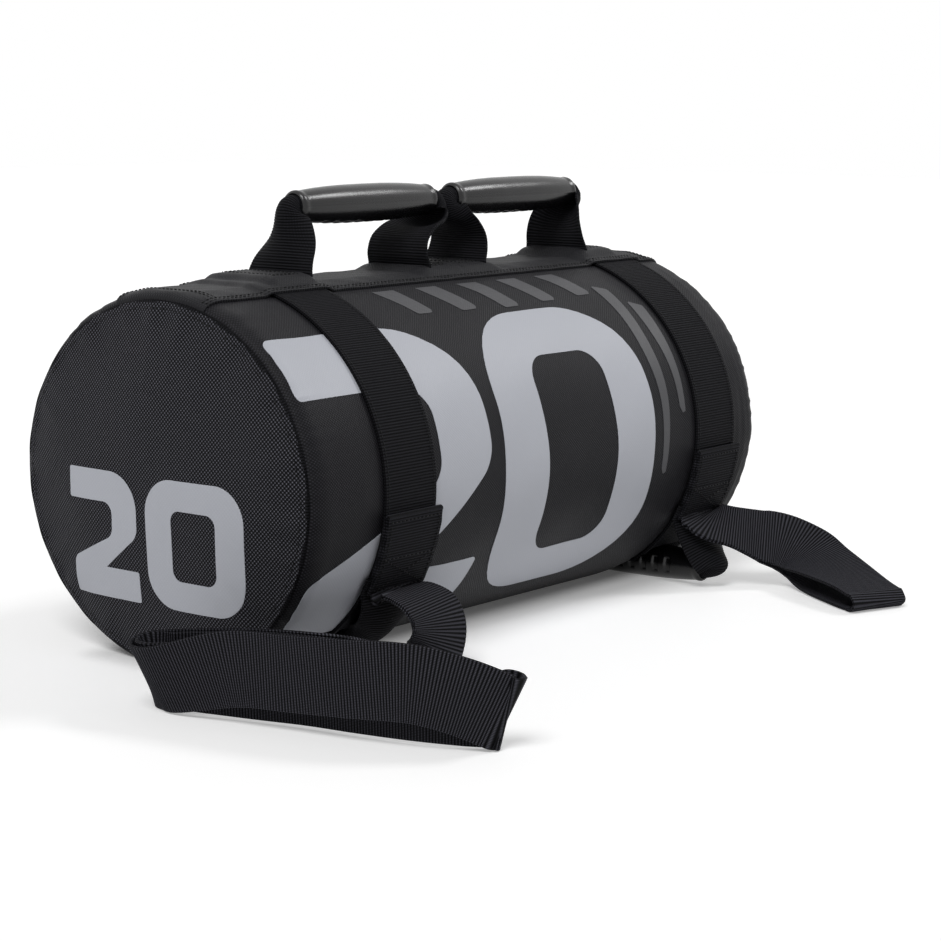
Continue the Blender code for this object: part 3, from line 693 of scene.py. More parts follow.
def make_finish(
    name, tint, shades, patch, fuzz, roughness, specular, depth, span=None, spread="Fuzz",
    sheen=0.0, metallic=0.0, threads=None, painted_thread_light=1.0, fuzz_share=0.0,
):
    """A finish in two shades of its tint, marked by handling.

    patch and fuzz are the sizes of the marks, and span is the roughness over the mark that
    spread names. threads holds the group of a weave and its pitches; painted_thread_light
    is a share of the tint: above one it paints the threads' crowns lighter as highlights,
    below one it paints their grooves darker as shade. fuzz_share is the part of the fuzz
    in their height.
    """
    found = bpy.data.materials.get(name)
    if found:
        return found
    material = bpy.data.materials.new(name)
    material.use_nodes = True
    tree = material.node_tree
    shader = tree.nodes["Principled BSDF"]
    for label, value in (
        ("Roughness", roughness), ("Specular IOR Level", specular), ("Sheen Weight", sheen),
        ("Sheen Roughness", 0.45), ("Metallic", metallic),
    ):
        shader.inputs[label].default_value = value
    marks = add_node(tree, "ShaderNodeGroup", {
        "Patch size": patch, "Fuzz size": fuzz,
    }, node_tree=handling_group()).outputs
    tone = blend_colour(tree, marks["Shade"], *(lighter(tint, share) for share in shades))
    height = marks["Fuzz"]
    if threads:
        group, pitches = threads
        place = add_node(tree, "ShaderNodeAttribute", attribute_name="surface")
        weave = add_node(tree, "ShaderNodeGroup", {
            "Surface": place.outputs["Vector"], **pitches,
        }, node_tree=group).outputs
        # Above one the crowns are painted lighter as highlights; below one the grooves are painted
        # darker as shade
        painted_relief_tone = lighter(tint, painted_thread_light)
        tones = (tone, painted_relief_tone) if painted_thread_light > 1 else (painted_relief_tone, tone)
        tone = blend_colour(tree, weave["Crown"], *tones)
        height = weave["Height"]
        if fuzz_share:
            rise = math_node(tree, "MULTIPLY", marks["Fuzz"], fuzz_share)
            height = math_node(tree, "ADD", height, rise)
    tree.links.new(tone, shader.inputs["Base Color"])
    if span:
        rough = add_node(tree, "ShaderNodeMapRange", {
            "Value": marks[spread], "To Min": span[0], "To Max": span[1],
        })
        tree.links.new(rough.outputs[0], shader.inputs["Roughness"])
    bump = add_node(tree, "ShaderNodeBump", {"Strength": 1.0, "Distance": depth, "Height": height})
    tree.links.new(bump.outputs[0], shader.inputs["Normal"])
    return material


def cloth_finish(name, tint, pitch, depth, painted_thread_light, roughness, sheen, specular=0.5):
    """Woven fabric whose thread crowns are painted lighter as highlights."""
    return make_finish(
        name, tint, (0.82, 1.22), 0.07, 0.0013, roughness, specular, depth,
        (roughness - 0.07, roughness + 0.09), sheen=sheen,
        threads=(weave_group(), {"Pitch": pitch}), painted_thread_light=painted_thread_light, fuzz_share=0.5,
    )


def webbing_finish(name="black_polyester_webbing", yarn=0.00095, ridges=18.0):
    web = settings("webbing")
    # ridges is the share of the tint painted on the ribs' crowns as highlights
    return make_finish(
        name, web.tape, (0.75, 1.3), 0.03, 0.0007, 0.6, 0.05, 0.00022, (0.52, 0.74),
        threads=(yarn_group(), {"Rib pitch": web.rib_pitch, "Yarn pitch": yarn}),
        painted_thread_light=ridges, fuzz_share=0.35,
    )


def thread_finish():
    return make_finish(
        "black_bonded_thread", settings("webbing").thread_colour, (0.7, 1.6), 0.01, 0.0004,
        0.45, 0.14, 0.00008,
    )


def rubber_finish():
    return make_finish(
        "moulded_grip_rubber", settings("grip").rubber, (0.8, 1.3), 0.025, 0.0006,
        0.24, 0.44, 0.00006, (0.17, 0.31), "Shade",
    )


def ink_finish(name, tint, pitch):
    return make_finish(
        # The ink is painted a little darker in the weave's grooves, as shade
        name, tint, (0.92, 1.06), 0.12, 0.002, 0.45, 0.3, 0.00006, (0.42, 0.6),
        threads=(weave_group(), {"Pitch": pitch}), painted_thread_light=0.94,
    )


def metal_finish():
    return make_finish(
        "blackened_zip_metal", (0.045, 0.045, 0.048), (1.0, 2.6), 0.006, 0.0005,
        0.4, 0.5, 0.00004, (0.3, 0.55), "Shade", metallic=1.0,
    )


# Fabric shell


def zip_span():
    web = settings("webbing")
    return tuple(web.near_x + (web.far_x - web.near_x) * share for share in zip_shares)


def stations():
    """Places along the bag at which its surface is meshed, finer at the far rim's ridges."""
    bag = settings("bag")
    low, high = zip_span()
    edge = bag.length / 2 - bag.rim_radius
    rim = bag.rim_radius * np.array([0.12, 0.25, 0.4, 0.55, 0.7, 0.82, 0.92, 1.0])
    ridges_from, step, apart = 0.206, 0.0012, 0.001
    inner = np.concatenate([
        np.linspace(-edge, ridges_from, 145), np.arange(ridges_from + step, edge, step)
    ])
    inner = inner[(np.abs(inner - low) > apart) & (np.abs(inner - high) > apart)]
    return np.sort(np.concatenate([-edge - rim, inner, [low, high], edge + rim]))


def end_out(bag, share, turn):
    """How far an end panel's inside stands out from the middle, at a share of its radius."""
    near_rim = np.exp(-(1 - share) / 0.10) * (1 - share ** 24)
    pucker = np.sin(turn * 19 + 2.4 * np.sin(turn * 3)) + 0.7 * np.sin(turn * 33 + 0.8)
    broad = np.sin(turn * 2 + 0.7) * np.sin(share * 5 + turn) * (1 - share ** 3)
    sag = bell(share, 0.82, 0.16) * np.sin(turn * 5 + 1.7) * 0.5
    fold = 0.9 * near_rim * (pucker - 0.6) + 0.9 * broad * ease(share / 0.6) + 1.1 * sag
    fold = np.minimum(bag.fold_depth * fold, 0.0012) * (1 - share ** 30)
    return bag.length / 2 + clearance + bag.end_dome * (1 - share ** 2.6) + fold


class SANDBAG_OT_shell(bpy.types.Operator):
    """Sew the side panel, the domed end panels and the piping at the rims"""

    bl_idname = "sandbag.shell"
    bl_label = "Fabric shell"

    def execute(self, context):
        bag = settings("bag")
        self.side_panel(bag)
        for name, side in (("near", -1), ("far", 1)):
            self.end_panel(bag, name, side)
            self.piping(bag, name, side)
        return {"FINISHED"}

    def side_panel(self, bag):
        low, high = zip_span()
        xs = stations()
        angles = around(turns)
        x, angle = np.meshgrid(
            xs, np.where(angles > math.pi, angles - 2 * math.pi, angles), indexing="ij"
        )
        present = np.ones((len(xs) - 1, turns), bool)
        first, last = (round(turn / (2 * math.pi) * turns) for turn in zip_angles)
        rows = (xs[:-1] > low - clearance) & (xs[1:] < high + clearance)
        present[np.ix_(rows, np.arange(first, last))] = False
        # The side fabric's thread crowns are painted seven times lighter, as highlights
        finish = cloth_finish(
            "coated_side_fabric", bag.fabric, bag.weave_pitch, 0.00016, 7.0, 0.5, 0.02, 0.10
        )
        piece = double_wall(
            "side_skin", cloth(x, angle), cloth(x, angle, -bag.wall),
            cloth_places(x, angles * mean_radius(bag)), finish, True, present,
        )
        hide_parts("side_panel")
        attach(piece, "bag")

    def end_panel(self, bag, name, side):
        angles = around(turns)
        shares = np.concatenate([np.linspace(0.02, 0.9, 42), [0.92, 0.94, 0.955, 0.97, 0.985, 1.0]])
        edge = skin(side * bag.length / 2, angles)
        hub = np.array([0, 0, middle_height(bag)])
        share, turn = np.meshgrid(shares, angles, indexing="ij")
        round_in = hub[1:] + (edge[None, :, 1:] - hub[1:]) * share[..., None]
        out = end_out(bag, share, turn)
        surface = cloth_places(-side * round_in[..., 0], round_in[..., 1]).reshape(-1, 3)
        points = np.concatenate([
            np.concatenate([(side * (out + wall))[..., None], round_in], -1).reshape(-1, 3)
            for wall in (bag.wall, 0.0)
        ])
        layer = share.size
        faces = [
            face for face in sheet_faces(*share.shape, True)
            if max(k % layer for k in face) >= turns
        ]
        rings = [list(range(turns)), list(range(layer, layer + turns))]
        hubs = [points[ring].mean(0) for ring in rings]
        faces += fan(len(points), rings[0][::-1]) + fan(len(points) + 1, rings[1])
        piece = make_piece(
            f"{name}_end_skin", np.concatenate([points, hubs]), faces,
            # The end fabric's thread crowns are painted a hundred times lighter, as highlights
            cloth_finish(
                "ballistic_end_fabric", bag.ends, bag.end_pitch, 0.0007, 100.0, 0.45, 0.0, 0.05
            ),
            np.concatenate([surface, surface, [[0, hub[2], 0]] * 2]),
        )
        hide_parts(f"{name}_end_panel")
        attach(piece, "bag")

    def piping(self, bag, name, side):
        """A thin welt that closes the seam between the side and the end panel."""
        angles = around(turns)
        edge = skin(side * bag.length / 2, angles)
        hub = np.array([side * (bag.length / 2 + clearance), 0, middle_height(bag)])
        out = unit((edge - hub) * np.array([0, 1, 1]))
        radius = 0.0013 + 0.0002 * np.sin(angles * 23)  # a little uneven
        sides, sunk = 8, 0.0006
        points = np.stack([
            edge + out * (radius * math.cos(turn) - sunk)[:, None]
            + np.array([1, 0, 0]) * (side * sunk + radius * math.sin(turn))[:, None]
            for turn in around(sides)
        ], 1)
        piece = make_piece(
            f"{name}_rim_piping", points, ring_faces(turns, sides, True), webbing_finish(),
            cloth_places(angles[:, None] * bend_radius, np.arange(sides) * 0.001),
        )
        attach(piece, "bag")


class SANDBAG_OT_filling(bpy.types.Operator):
    """Lay the filler pouches and the seam bindings inside the shell"""

    bl_idname = "sandbag.filling"
    bl_label = "Filling"

    def execute(self, context):
        bag = settings("bag")
        # The pouch's thread crowns are painted a little lighter, as highlights
        finish = cloth_finish(
            "grey_pouch_vinyl", (0.19, 0.19, 0.2), bag.weave_pitch, 0.0001, 1.2, 0.5, 0.0
        )
        for name in ("near", "middle", "far"):
            self.pouch(name, finish)
        for name in ("near", "far"):
            self.binding(name)
        return {"FINISHED"}

    def pouch(self, name, finish):
        low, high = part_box(f"{name}_filler_pouch")
        room, round_end, raised, reach = 0.006, 0.030, 0.003, 0.22
        share = np.linspace(0, 1, 41)
        xs = low.x + (high.x - low.x) * (1 - np.cos(share * math.pi)) / 2
        inset = room + round_end * np.abs(2 * share - 1) ** 9
        x, angle = np.meshgrid(xs, around(96), indexing="ij")
        wave = 0.001 * np.sin(angle * 13 + x * 90) * np.sin(x * 60)
        points = skin(np.clip(x, -reach, reach), angle, -inset[:, None] + wave)
        points[..., 0] = x
        points[..., 2] += raised
        rows, columns = x.shape
        hubs = [points[0].mean(0), points[-1].mean(0)]
        faces = ring_faces(rows, columns) + fan(x.size, range(columns))
        faces += fan(x.size + 1, range(x.size - columns, x.size))
        surface = cloth_places(x, angle * bend_radius).reshape(-1, 3)
        piece = make_piece(
            f"{name}_pouch_bag", np.concatenate([points.reshape(-1, 3), hubs]), faces, finish,
            np.concatenate([surface, hubs]),
        )
        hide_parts(f"{name}_filler_pouch")
        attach(piece, "bag")

    def binding(self, name):
        low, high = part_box(f"{name}_rim_binding")
        outer, inner = 0.0042, 0.0056
        x, angle = np.meshgrid(np.linspace(low.x, high.x, 5), around(160), indexing="ij")
        piece = double_wall(
            f"{name}_seam_binding", skin(x, angle, -outer), skin(x, angle, -inner),
            cloth_places(angle * bend_radius, x), webbing_finish(), True,
        )
        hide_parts(f"{name}_rim_binding")
        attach(piece, "bag")


# Bands, patches and top strip


def tab_boxes():
    """The corners of the four tabs that are sewn down at the feet of the top handles."""
    return [
        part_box(f"{handle}_top_{end}_tab")
        for handle in ("near", "far") for end in ("outer", "inner")
    ]


def strip_lift(x, angle):
    """How far the strip rises over the bands and the sewn tabs beneath it."""
    bag, web = settings("bag", "webbing")
    edge = web.band_width / 2
    cover = np.zeros(np.shape(x))
    for place in band_places().values():
        cover = np.maximum(cover, ramp(np.abs(x - place), edge + 0.001, edge + 0.009))
    past = np.abs(bag.width / 2 * np.sin(angle)) - web.width / 2
    swell = np.zeros(np.broadcast(x, angle).shape)
    for low, high in tab_boxes():
        beyond = np.maximum(low.x - x, x - high.x)
        top = high.z - bag.height - bag.strip / 4
        swell = np.maximum(swell, top * ramp(beyond, 0.0005, 0.016) * ramp(past, 0.0005, 0.013))
    return np.maximum(clearance + (web.thickness + clearance) * cover, swell)


class SANDBAG_OT_bands(bpy.types.Operator):
    """Run the webbing bands round the bag and fold the patches over them"""

    bl_idname = "sandbag.bands"
    bl_label = "Bands and patches"

    def execute(self, context):
        web = settings("webbing")
        for name, place in band_places().items():
            self.band(web, name, place)
            for end, side in (("front", -1), ("rear", 1)):
                self.patch(web, name, place, end, side)
        return {"FINISHED"}

    def band(self, web, name, place):
        angles = np.linspace(-math.pi, math.pi, 2400, endpoint=False)
        middle = skin(place, angles, clearance + web.thickness)
        gone = lengths_gone(np.concatenate([middle, middle[:1]]))
        ribs = round(gone[-1] / web.rib_pitch)
        at = np.linspace(0, gone[-1], ribs * 4, endpoint=False)
        angles = np.interp(at, gone, np.append(angles, math.pi))[:, None]
        across, heights, ribbed = tape_ring(15, 0.012, 0.3, 0.0, 0.0)
        across = across * web.band_width / 2
        stretch = web.rib_pitch * ribs / gone[-1]
        piece = make_piece(
            f"{name}_band_webbing",
            skin(place + across, angles, clearance + heights * web.thickness),
            ring_faces(len(at), len(across), True), webbing_finish(),
            cloth_places(at[:, None] * stretch, across), np.tile(ribbed, len(at)),
        )
        piece = rib(piece, 0.8)
        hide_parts(f"{name}_band")
        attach(piece, "bag")

    def patch(self, web, name, place, end, side):
        """Webbing folded on itself: the fold is at the top, both ends lie at the bottom."""
        first, last = patch_angles
        stops, slack, fine = 14, 0.0002, 0.62
        inner, outer = (
            web.thickness * share + web.thickness + 2 * clearance for share in (0.52, 1.56)
        )
        layer = np.linspace(last, first + 0.012, stops)
        fold = [first + 0.003, first - 0.002, first + 0.003]
        turn = np.concatenate([layer, fold, layer[::-1]])
        fold = [inner + slack, (inner + outer) / 2, outer + slack]
        lifts = np.concatenate([np.full(stops, inner), fold, np.full(stops, outer)])
        # The patch webbing's rib crowns are painted 24 times lighter, as highlights
        piece = ribbon(
            f"{name}_{end}_fold", skin(place, side * turn, lifts),
            np.tile([float(-side), 0, 0], (len(turn), 1)),
            web.band_width + 0.004 - 0.0006 * np.sin(turn * 60), web.thickness * 0.95, 0.0,
            web.rib_pitch * fine, webbing_finish("fine_patch_webbing", 0.0008, 24.0),
        )
        piece = rib(piece, 0.3, fine)
        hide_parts(f"{name}_{end}_patch")
        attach(piece, "bag")


class SANDBAG_OT_top_strip(bpy.types.Operator):
    """Lay the top strip over the bands and the handles' sewn tabs"""

    bl_idname = "sandbag.top_strip"
    bl_label = "Top strip"

    def execute(self, context):
        bag = settings("bag")
        edge = bag.length / 2 - bag.rim_radius
        rim = bag.rim_radius * np.array([0.15, 0.3, 0.45, 0.6, 0.72, 0.84, 0.94, 1.0])
        xs = np.concatenate([-edge - rim[::-1], np.linspace(-edge, edge, 300), edge + rim])
        angles = np.linspace(-strip_angle, strip_angle, 61)
        x, angle = np.meshgrid(xs, angles, indexing="ij")
        hem = bell(np.abs(angle), strip_angle * 0.955, 0.008)
        wave = 0.00022 * np.sin(x * 190 + angle * 9) * np.sin(angle * 24 + x * 31)
        wave = wave - 0.0003 * np.abs(np.sin(x * 420)) * bell(np.abs(angle), 0.275, 0.012)
        lift = strip_lift(x, angle)
        piece = double_wall(
            "strip_skin", skin(x, angle, lift + bag.strip * (0.85 + 0.25 * hem) + wave),
            skin(x, angle, np.maximum(lift * 0.999, clearance)),
            cloth_places(x, angle * bag.width / 2),
            # The strip's thread crowns are painted a little lighter, as highlights
            cloth_finish(
                "top_strip_fabric", bag.strip_colour, bag.weave_pitch, 0.0002, 2.2, 0.55, 0.04,
                0.12,
            ),
            False,
        )
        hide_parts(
            "top_strip", "near_top_outer_tab", "near_top_inner_tab", "far_top_outer_tab",
            "far_top_inner_tab",
        )
        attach(piece, "bag")
        return {"FINISHED"}


# Handles


def bezier(start, leave, arrive, end, steps):
    share = np.linspace(0, 1, steps)[:, None]
    rest = 1 - share
    return (
        start * rest ** 3 + leave * 3 * rest ** 2 * share
        + arrive * 3 * rest * share ** 2 + end * share ** 3
    )


# Top legs: places along the bag and heights over its top, from the foot to the mouth
leg_courses = {
    "near": {
        "outer": (
            (-0.1318, 0), (-0.1312, 0.009), (-0.1296, 0.019), (-0.1282, 0.029), (-0.1268, 0.0365),
            (-0.1240, 0.0408), (-0.1210, 0.0417),
        ),
        "inner": (
            (-0.0130, 0), (-0.0152, 0.008), (-0.0120, 0.017), (-0.0010, 0.0228), (0.0140, 0.0245),
            (0.0238, 0.0290), (0.0262, 0.0360), (0.0232, 0.0408), (0.0192, 0.0417),
        ),
    },
    "far": {
        "outer": (
            (0.1660, 0), (0.1662, 0.009), (0.1700, 0.0185), (0.1768, 0.0265), (0.1828, 0.0335),
            (0.1836, 0.0392), (0.1793, 0.0417),
        ),
        "inner": (
            (0.0470, 0), (0.0504, 0.008), (0.0500, 0.0165), (0.0440, 0.0235), (0.0362, 0.0285),
            (0.0322, 0.0350), (0.0344, 0.0405), (0.0388, 0.0417),
        ),
    },
}
# Lower legs, in radii of the grip: how far a leg leaves its patch outwards and downwards,
# and how far it arrives from the grip's mouth. A leg with None follows the belly instead,
# by turns of nine degrees, and then rises to the mouth.
lower_bends = {
    "near": {"front": (0.3, 2.3, 2.1), "rear": (0.3, 2.3, 2.1)},
    "far": {"front": (0.6, 2.0, 2.3), "rear": None},
}
under_turns = (14, 15, 16, 17, 17.5)
under_mouth = ((1.7, 0.3), (0.7, 0.9))


def handle_webbing(legs, centre, along, across, curling=(1.8, 1.8)):
    """One webbing: up a leg, curled through the grip's bore and down the other leg."""
    web, grip = settings("webbing", "grip")
    curl_radius = grip.bore / 2 - web.thickness / 2 - clearance
    pulled, flare = 0.038, 0.008
    half = grip.length / 2 + 0.002
    bore = np.array([centre + along * half * share for share in np.linspace(-0.96, 0.96, 9)])
    path = np.concatenate([legs[0], bore, legs[1][::-1]])
    shares = [np.linspace(0, 1, len(leg)) for leg in legs]
    fold = np.concatenate([shares[0], np.ones(len(bore)), shares[1][::-1]])
    out = np.cross(unit(np.gradient(path, axis=0)), across)
    apex = path + out * (curl_radius * fold ** 3)[:, None]
    widths = pulled + (web.width - pulled) * (1 - fold ** 2) + flare * (1 - fold) ** 3
    curled = [share ** power for share, power in zip(shares, curling)]
    curls = np.concatenate([curled[0], np.ones(len(bore)), curled[1][::-1]]) / curl_radius
    return apex, np.tile(across, (len(path), 1)), widths, curls


def handle_ribbon(name, apex, sides, widths, curls):
    web = settings("webbing")
    return rib(ribbon(
        name, apex, sides, widths, web.thickness * 0.92, curls, web.rib_pitch,
        webbing_finish(), columns=23,
    ))


# A sleeve's bulge: shares of its half length, and of the way from mouth to full diameter
bulge_stops = (0, 0.3, 0.5, 0.7, 0.85, 0.94, 1)
bulge = (1, 0.97, 0.84, 0.6, 0.32, 0.08, 0.16)


def sleeve(name, centre, along, groove_way, node, body):
    """A barrel grip of moulded rubber with lips, a mould line and finger grooves."""
    grip = settings("grip")
    half = grip.length / 2
    sides = 96
    ends = half * np.array([0.985, 0.992, 0.998, 1.0])
    outer_x = np.concatenate([-ends[::-1], np.linspace(-half * 0.975, half * 0.975, 170), ends])
    share = np.abs(outer_x) / half
    barrel = np.interp(share, bulge_stops, bulge)
    barrel = np.convolve(np.pad(barrel, 4, "edge"), np.ones(9) / 9, "valid")
    radius = grip.mouth / 2 + (grip.diameter - grip.mouth) / 2 * barrel
    lip, rounding, round_from = 0.0005, 0.0016, 0.975
    radius = radius + lip * bell(share, 0.955, 0.03)
    radius = radius - rounding * (np.maximum(share - round_from, 0) / (1 - round_from)) ** 2
    x, angle = np.meshgrid(outer_x, around(sides), indexing="ij")
    away = np.abs(np.arctan2(np.sin(angle), np.cos(angle)))
    reach = (grip.grooves - 1) / 2 * grip.rib_pitch
    wave = np.abs((x + reach) / grip.rib_pitch - np.round((x + reach) / grip.rib_pitch))
    groove = ramp(wave, 0.16, 0.26) * ramp(np.abs(x), reach + 0.003, reach + 0.004)
    r = radius[:, None] - grip.rib_depth * groove * ramp(away, 0.42, 0.54)
    mould_line = 0.00022
    r = r + mould_line * bell(away, math.pi / 2, 0.03) * (share[:, None] < 0.97)
    inner_x = np.array([half * 0.997, half * 0.95, 0.0, -half * 0.95, -half * 0.997])
    inner_r = np.array([0.0006, 0.0, 0.0, 0.0, 0.0006]) + grip.bore / 2
    x = np.concatenate([x, np.repeat(inner_x[:, None], sides, 1)])
    r = np.concatenate([r, np.repeat(inner_r[:, None], sides, 1)])
    angle = np.concatenate([angle, np.tile(around(sides), (len(inner_x), 1))])
    groove_way = np.asarray(groove_way, float)
    points = (
        centre + x[..., None] * along + (r * np.cos(angle))[..., None] * groove_way
        + (r * np.sin(angle))[..., None] * np.cross(along, groove_way)
    )
    piece = make_piece(
        name, points, ring_faces(len(x), sides, True), rubber_finish(),
        cloth_places(x, angle * 0.012),
    )
    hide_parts(node)
    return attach(piece, body)


class SANDBAG_OT_top_handles(bpy.types.Operator):
    """Stand the two sleeve grips on their webbing legs along the top"""

    bl_idname = "sandbag.top_handles"
    bl_label = "Top handles"

    def execute(self, context):
        for name in ("near", "far"):
            self.handle(name)
        return {"FINISHED"}

    def handle(self, name):
        low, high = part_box(f"{name}_top_grip")
        centre = np.array((low + high) / 2)
        seat, sewn, step = 0.0008, 0.0026, 0.0027
        legs = {}
        for end in ("outer", "inner"):
            course = leg_courses[name][end]
            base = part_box(f"{name}_top_{end}_tab")[1].z + seat
            lift = (float(centre[2]) - base) / course[-1][1]
            outward = 1 if course[0][0] > centre[0] else -1
            course = np.array([[x, 0, base + height * lift] for x, height in course])
            course = even_steps(refine(course, 6), step)[1]
            legs[outward] = np.concatenate([[course[0] - np.array([0, 0, sewn])], course])
        along = np.array([1.0, 0, 0])
        piece = handle_ribbon(f"{name}_top_webbing", *handle_webbing(
            (legs[-1], legs[1]), centre, along, np.array([0, 1.0, 0]),
            (1.8, 3.2) if name == "near" else (3.2, 1.8),
        ))
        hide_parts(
            f"{name}_top_outer_leg", f"{name}_top_inner_leg", f"{name}_top_webbing_core"
        )
        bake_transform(piece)
        sleeve(
            f"{name}_top_sleeve", centre, along, (0, 0, -1), f"{name}_top_grip",
            f"{name}_top_handle",
        )


class SANDBAG_OT_lower_handles(bpy.types.Operator):
    """Lay the two lower grips under the belly with their legs sewn in at the patches"""

    bl_idname = "sandbag.lower_handles"
    bl_label = "Lower handles"

    def execute(self, context):
        for name, place in band_places().items():
            self.handle(name, place)
        return {"FINISHED"}

    def handle(self, name, place):
        bag, web, grip = settings("bag", "webbing", "grip")
        radius = grip.diameter / 2
        centre = np.array([place, band_grips[name], radius + clearance])
        depth = 1.5 * web.thickness + 2 * clearance
        tuck, mouth_room, step = 0.09, 0.0023, math.radians(9)
        legs = []
        for end, side in (("front", -1), ("rear", 1)):
            angle = side * (patch_angles[1] + 2 * clearance / top_of_bag(bag))
            start = skin(place, angle, depth)
            inside = skin(place, angle - side * tuck, depth - clearance)
            stop = centre + np.array([0, side * (grip.length / 2 + mouth_room), 0])
            bends = lower_bends[name][end]
            if bends is None:
                course = [start] + [skin(place, side * turn * step, depth) for turn in under_turns]
                for out, height in under_mouth:
                    course.append([place, stop[1] + side * radius * out, stop[2] * height])
                course = refine(np.array(course + [stop]), 3)
            else:
                out, drop, mouth = bends
                leave = start + np.array([0, side * out * radius, -drop * radius])
                arrive = stop + np.array([0, side * mouth * radius, 0])
                course = bezier(start, leave, arrive, stop, 17)
            legs.append(np.concatenate([[inside], course]))
        along = np.array([0, 1.0, 0])
        apex, *rest = handle_webbing(legs, centre, along, np.array([1.0, 0, 0]))
        apex[:, 2] = np.maximum(apex[:, 2], web.thickness / 2 + clearance)
        piece = handle_ribbon(f"{name}_lower_webbing", apex, *rest)
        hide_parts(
            f"{name}_lower_front_leg", f"{name}_lower_rear_leg", f"{name}_lower_webbing_core"
        )
        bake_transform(piece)
        sleeve(
            f"{name}_lower_sleeve", centre, along, (-1, 0, 0), f"{name}_lower_grip",
            f"{name}_lower_handle",
        )


# Straps: each stop's place from the foot in metres and its width's direction; the loop's
# stops also have shares of the gap between the layers and of the upper layer's lift. A
# pinch is how much narrower the webbing is bunched, at which stop, and over how many.
strap_courses = {
    "near": {
        "root": (
            ((0, 0, 0), (1, 0, 0)),
            ((0.003, -0.012, -0.001), (1, 0, 0)),
            ((0.005, -0.024, -0.006), (1, 0, 0)),
            ((0.006, -0.031, -0.016), (1, 0, 0)),
            ((0.004, -0.033, -0.028), (1, -0.12, 0)),
            ((-0.002, -0.030, -0.040), (0.8, -0.6, 0)),
        ),
        "pinch": (0.024, 6.2, 1.5),
        "loop": (
            ((-0.016, -0.026, 0), (0.3, -0.95, 0.12), (0, 0)),
            ((-0.034, -0.0235, 0), (0, -0.88, 0.42), (0, 0)),
            ((-0.056, -0.019, 0), (-0.1, -0.74, 0.67), (0.02, 0)),
            ((-0.085, -0.010, 0), (-0.1, -0.52, 0.84), (0.04, 0)),
            ((-0.115, 0.011, 0), (-0.05, -0.3, 0.95), (0.06, 0)),
            ((-0.141, 0.0375, 0), (-0.2, -0.1, 1), (0.08, 0)),
            ((-0.153, 0.0475, 0), (-0.35, 0, 1), (0.1, 0)),
            ((-0.164, 0.0480, 0), (-0.45, 0.05, 1), (0.1, 0)),
            ((-0.171, 0.0395, 0), (-0.5, 0.05, 1), (0.12, 0)),
            ((-0.1715, 0.0245, 0), (-0.38, 0, 1), (0.2, 0.02)),
            ((-0.157, -0.015, 0), (-0.08, -0.02, 1), (0.75, 0.22)),
            ((-0.147, -0.056, 0), (-0.06, -0.05, 1), (1, 0.26)),
            ((-0.140, -0.092, 0), (-0.03, -0.1, 1), (1, 0.29)),
            ((-0.130, -0.128, 0), (0.04, -0.2, 1), (0.85, 0.30)),
            ((-0.118, -0.153, 0), (0.12, -0.32, 1), (0.5, 0.18)),
            ((-0.105, -0.172, 0), (0.2, -0.42, 1), (0.24, 0)),
        ),
    },
    "far": {
        "root": (
            ((0, 0, 0), (1, 0, 0)),
            ((0.003, -0.012, -0.004), (0.9, 0.12, 0.4)),
            ((0.012, -0.024, -0.008), (0.72, 0.22, 0.66)),
        ),
        "pinch": (0.013, 1.9, 1.15),
        "loop": (
            ((0.028, -0.036, 0.017), (0.62, 0.26, 0.74), (0.02, 0)),
            ((0.041, -0.049, 0.011), (0.66, 0.18, 0.72), (0.2, 0)),
            ((0.046, -0.065, 0.004), (0.78, 0, 0.58), (0.6, 0)),
            ((0.038, -0.086, 0), (0.88, -0.25, 0.3), (1, 0)),
            ((0.017, -0.125, 0), (0.93, -0.36, 0.04), (0.9, 0)),
            ((0.006, -0.147, 0), (0.93, -0.36, 0), (0.6, 0)),
        ),
    },
}
# Gaps between a strap's layers where they are sewn and where the loop is widest, the
# root's share of the way from one to the other, and the steps between two stops
seam_gap = 0.0012
strap_gap = 0.012
root_gap = -0.055
stop_steps = 5


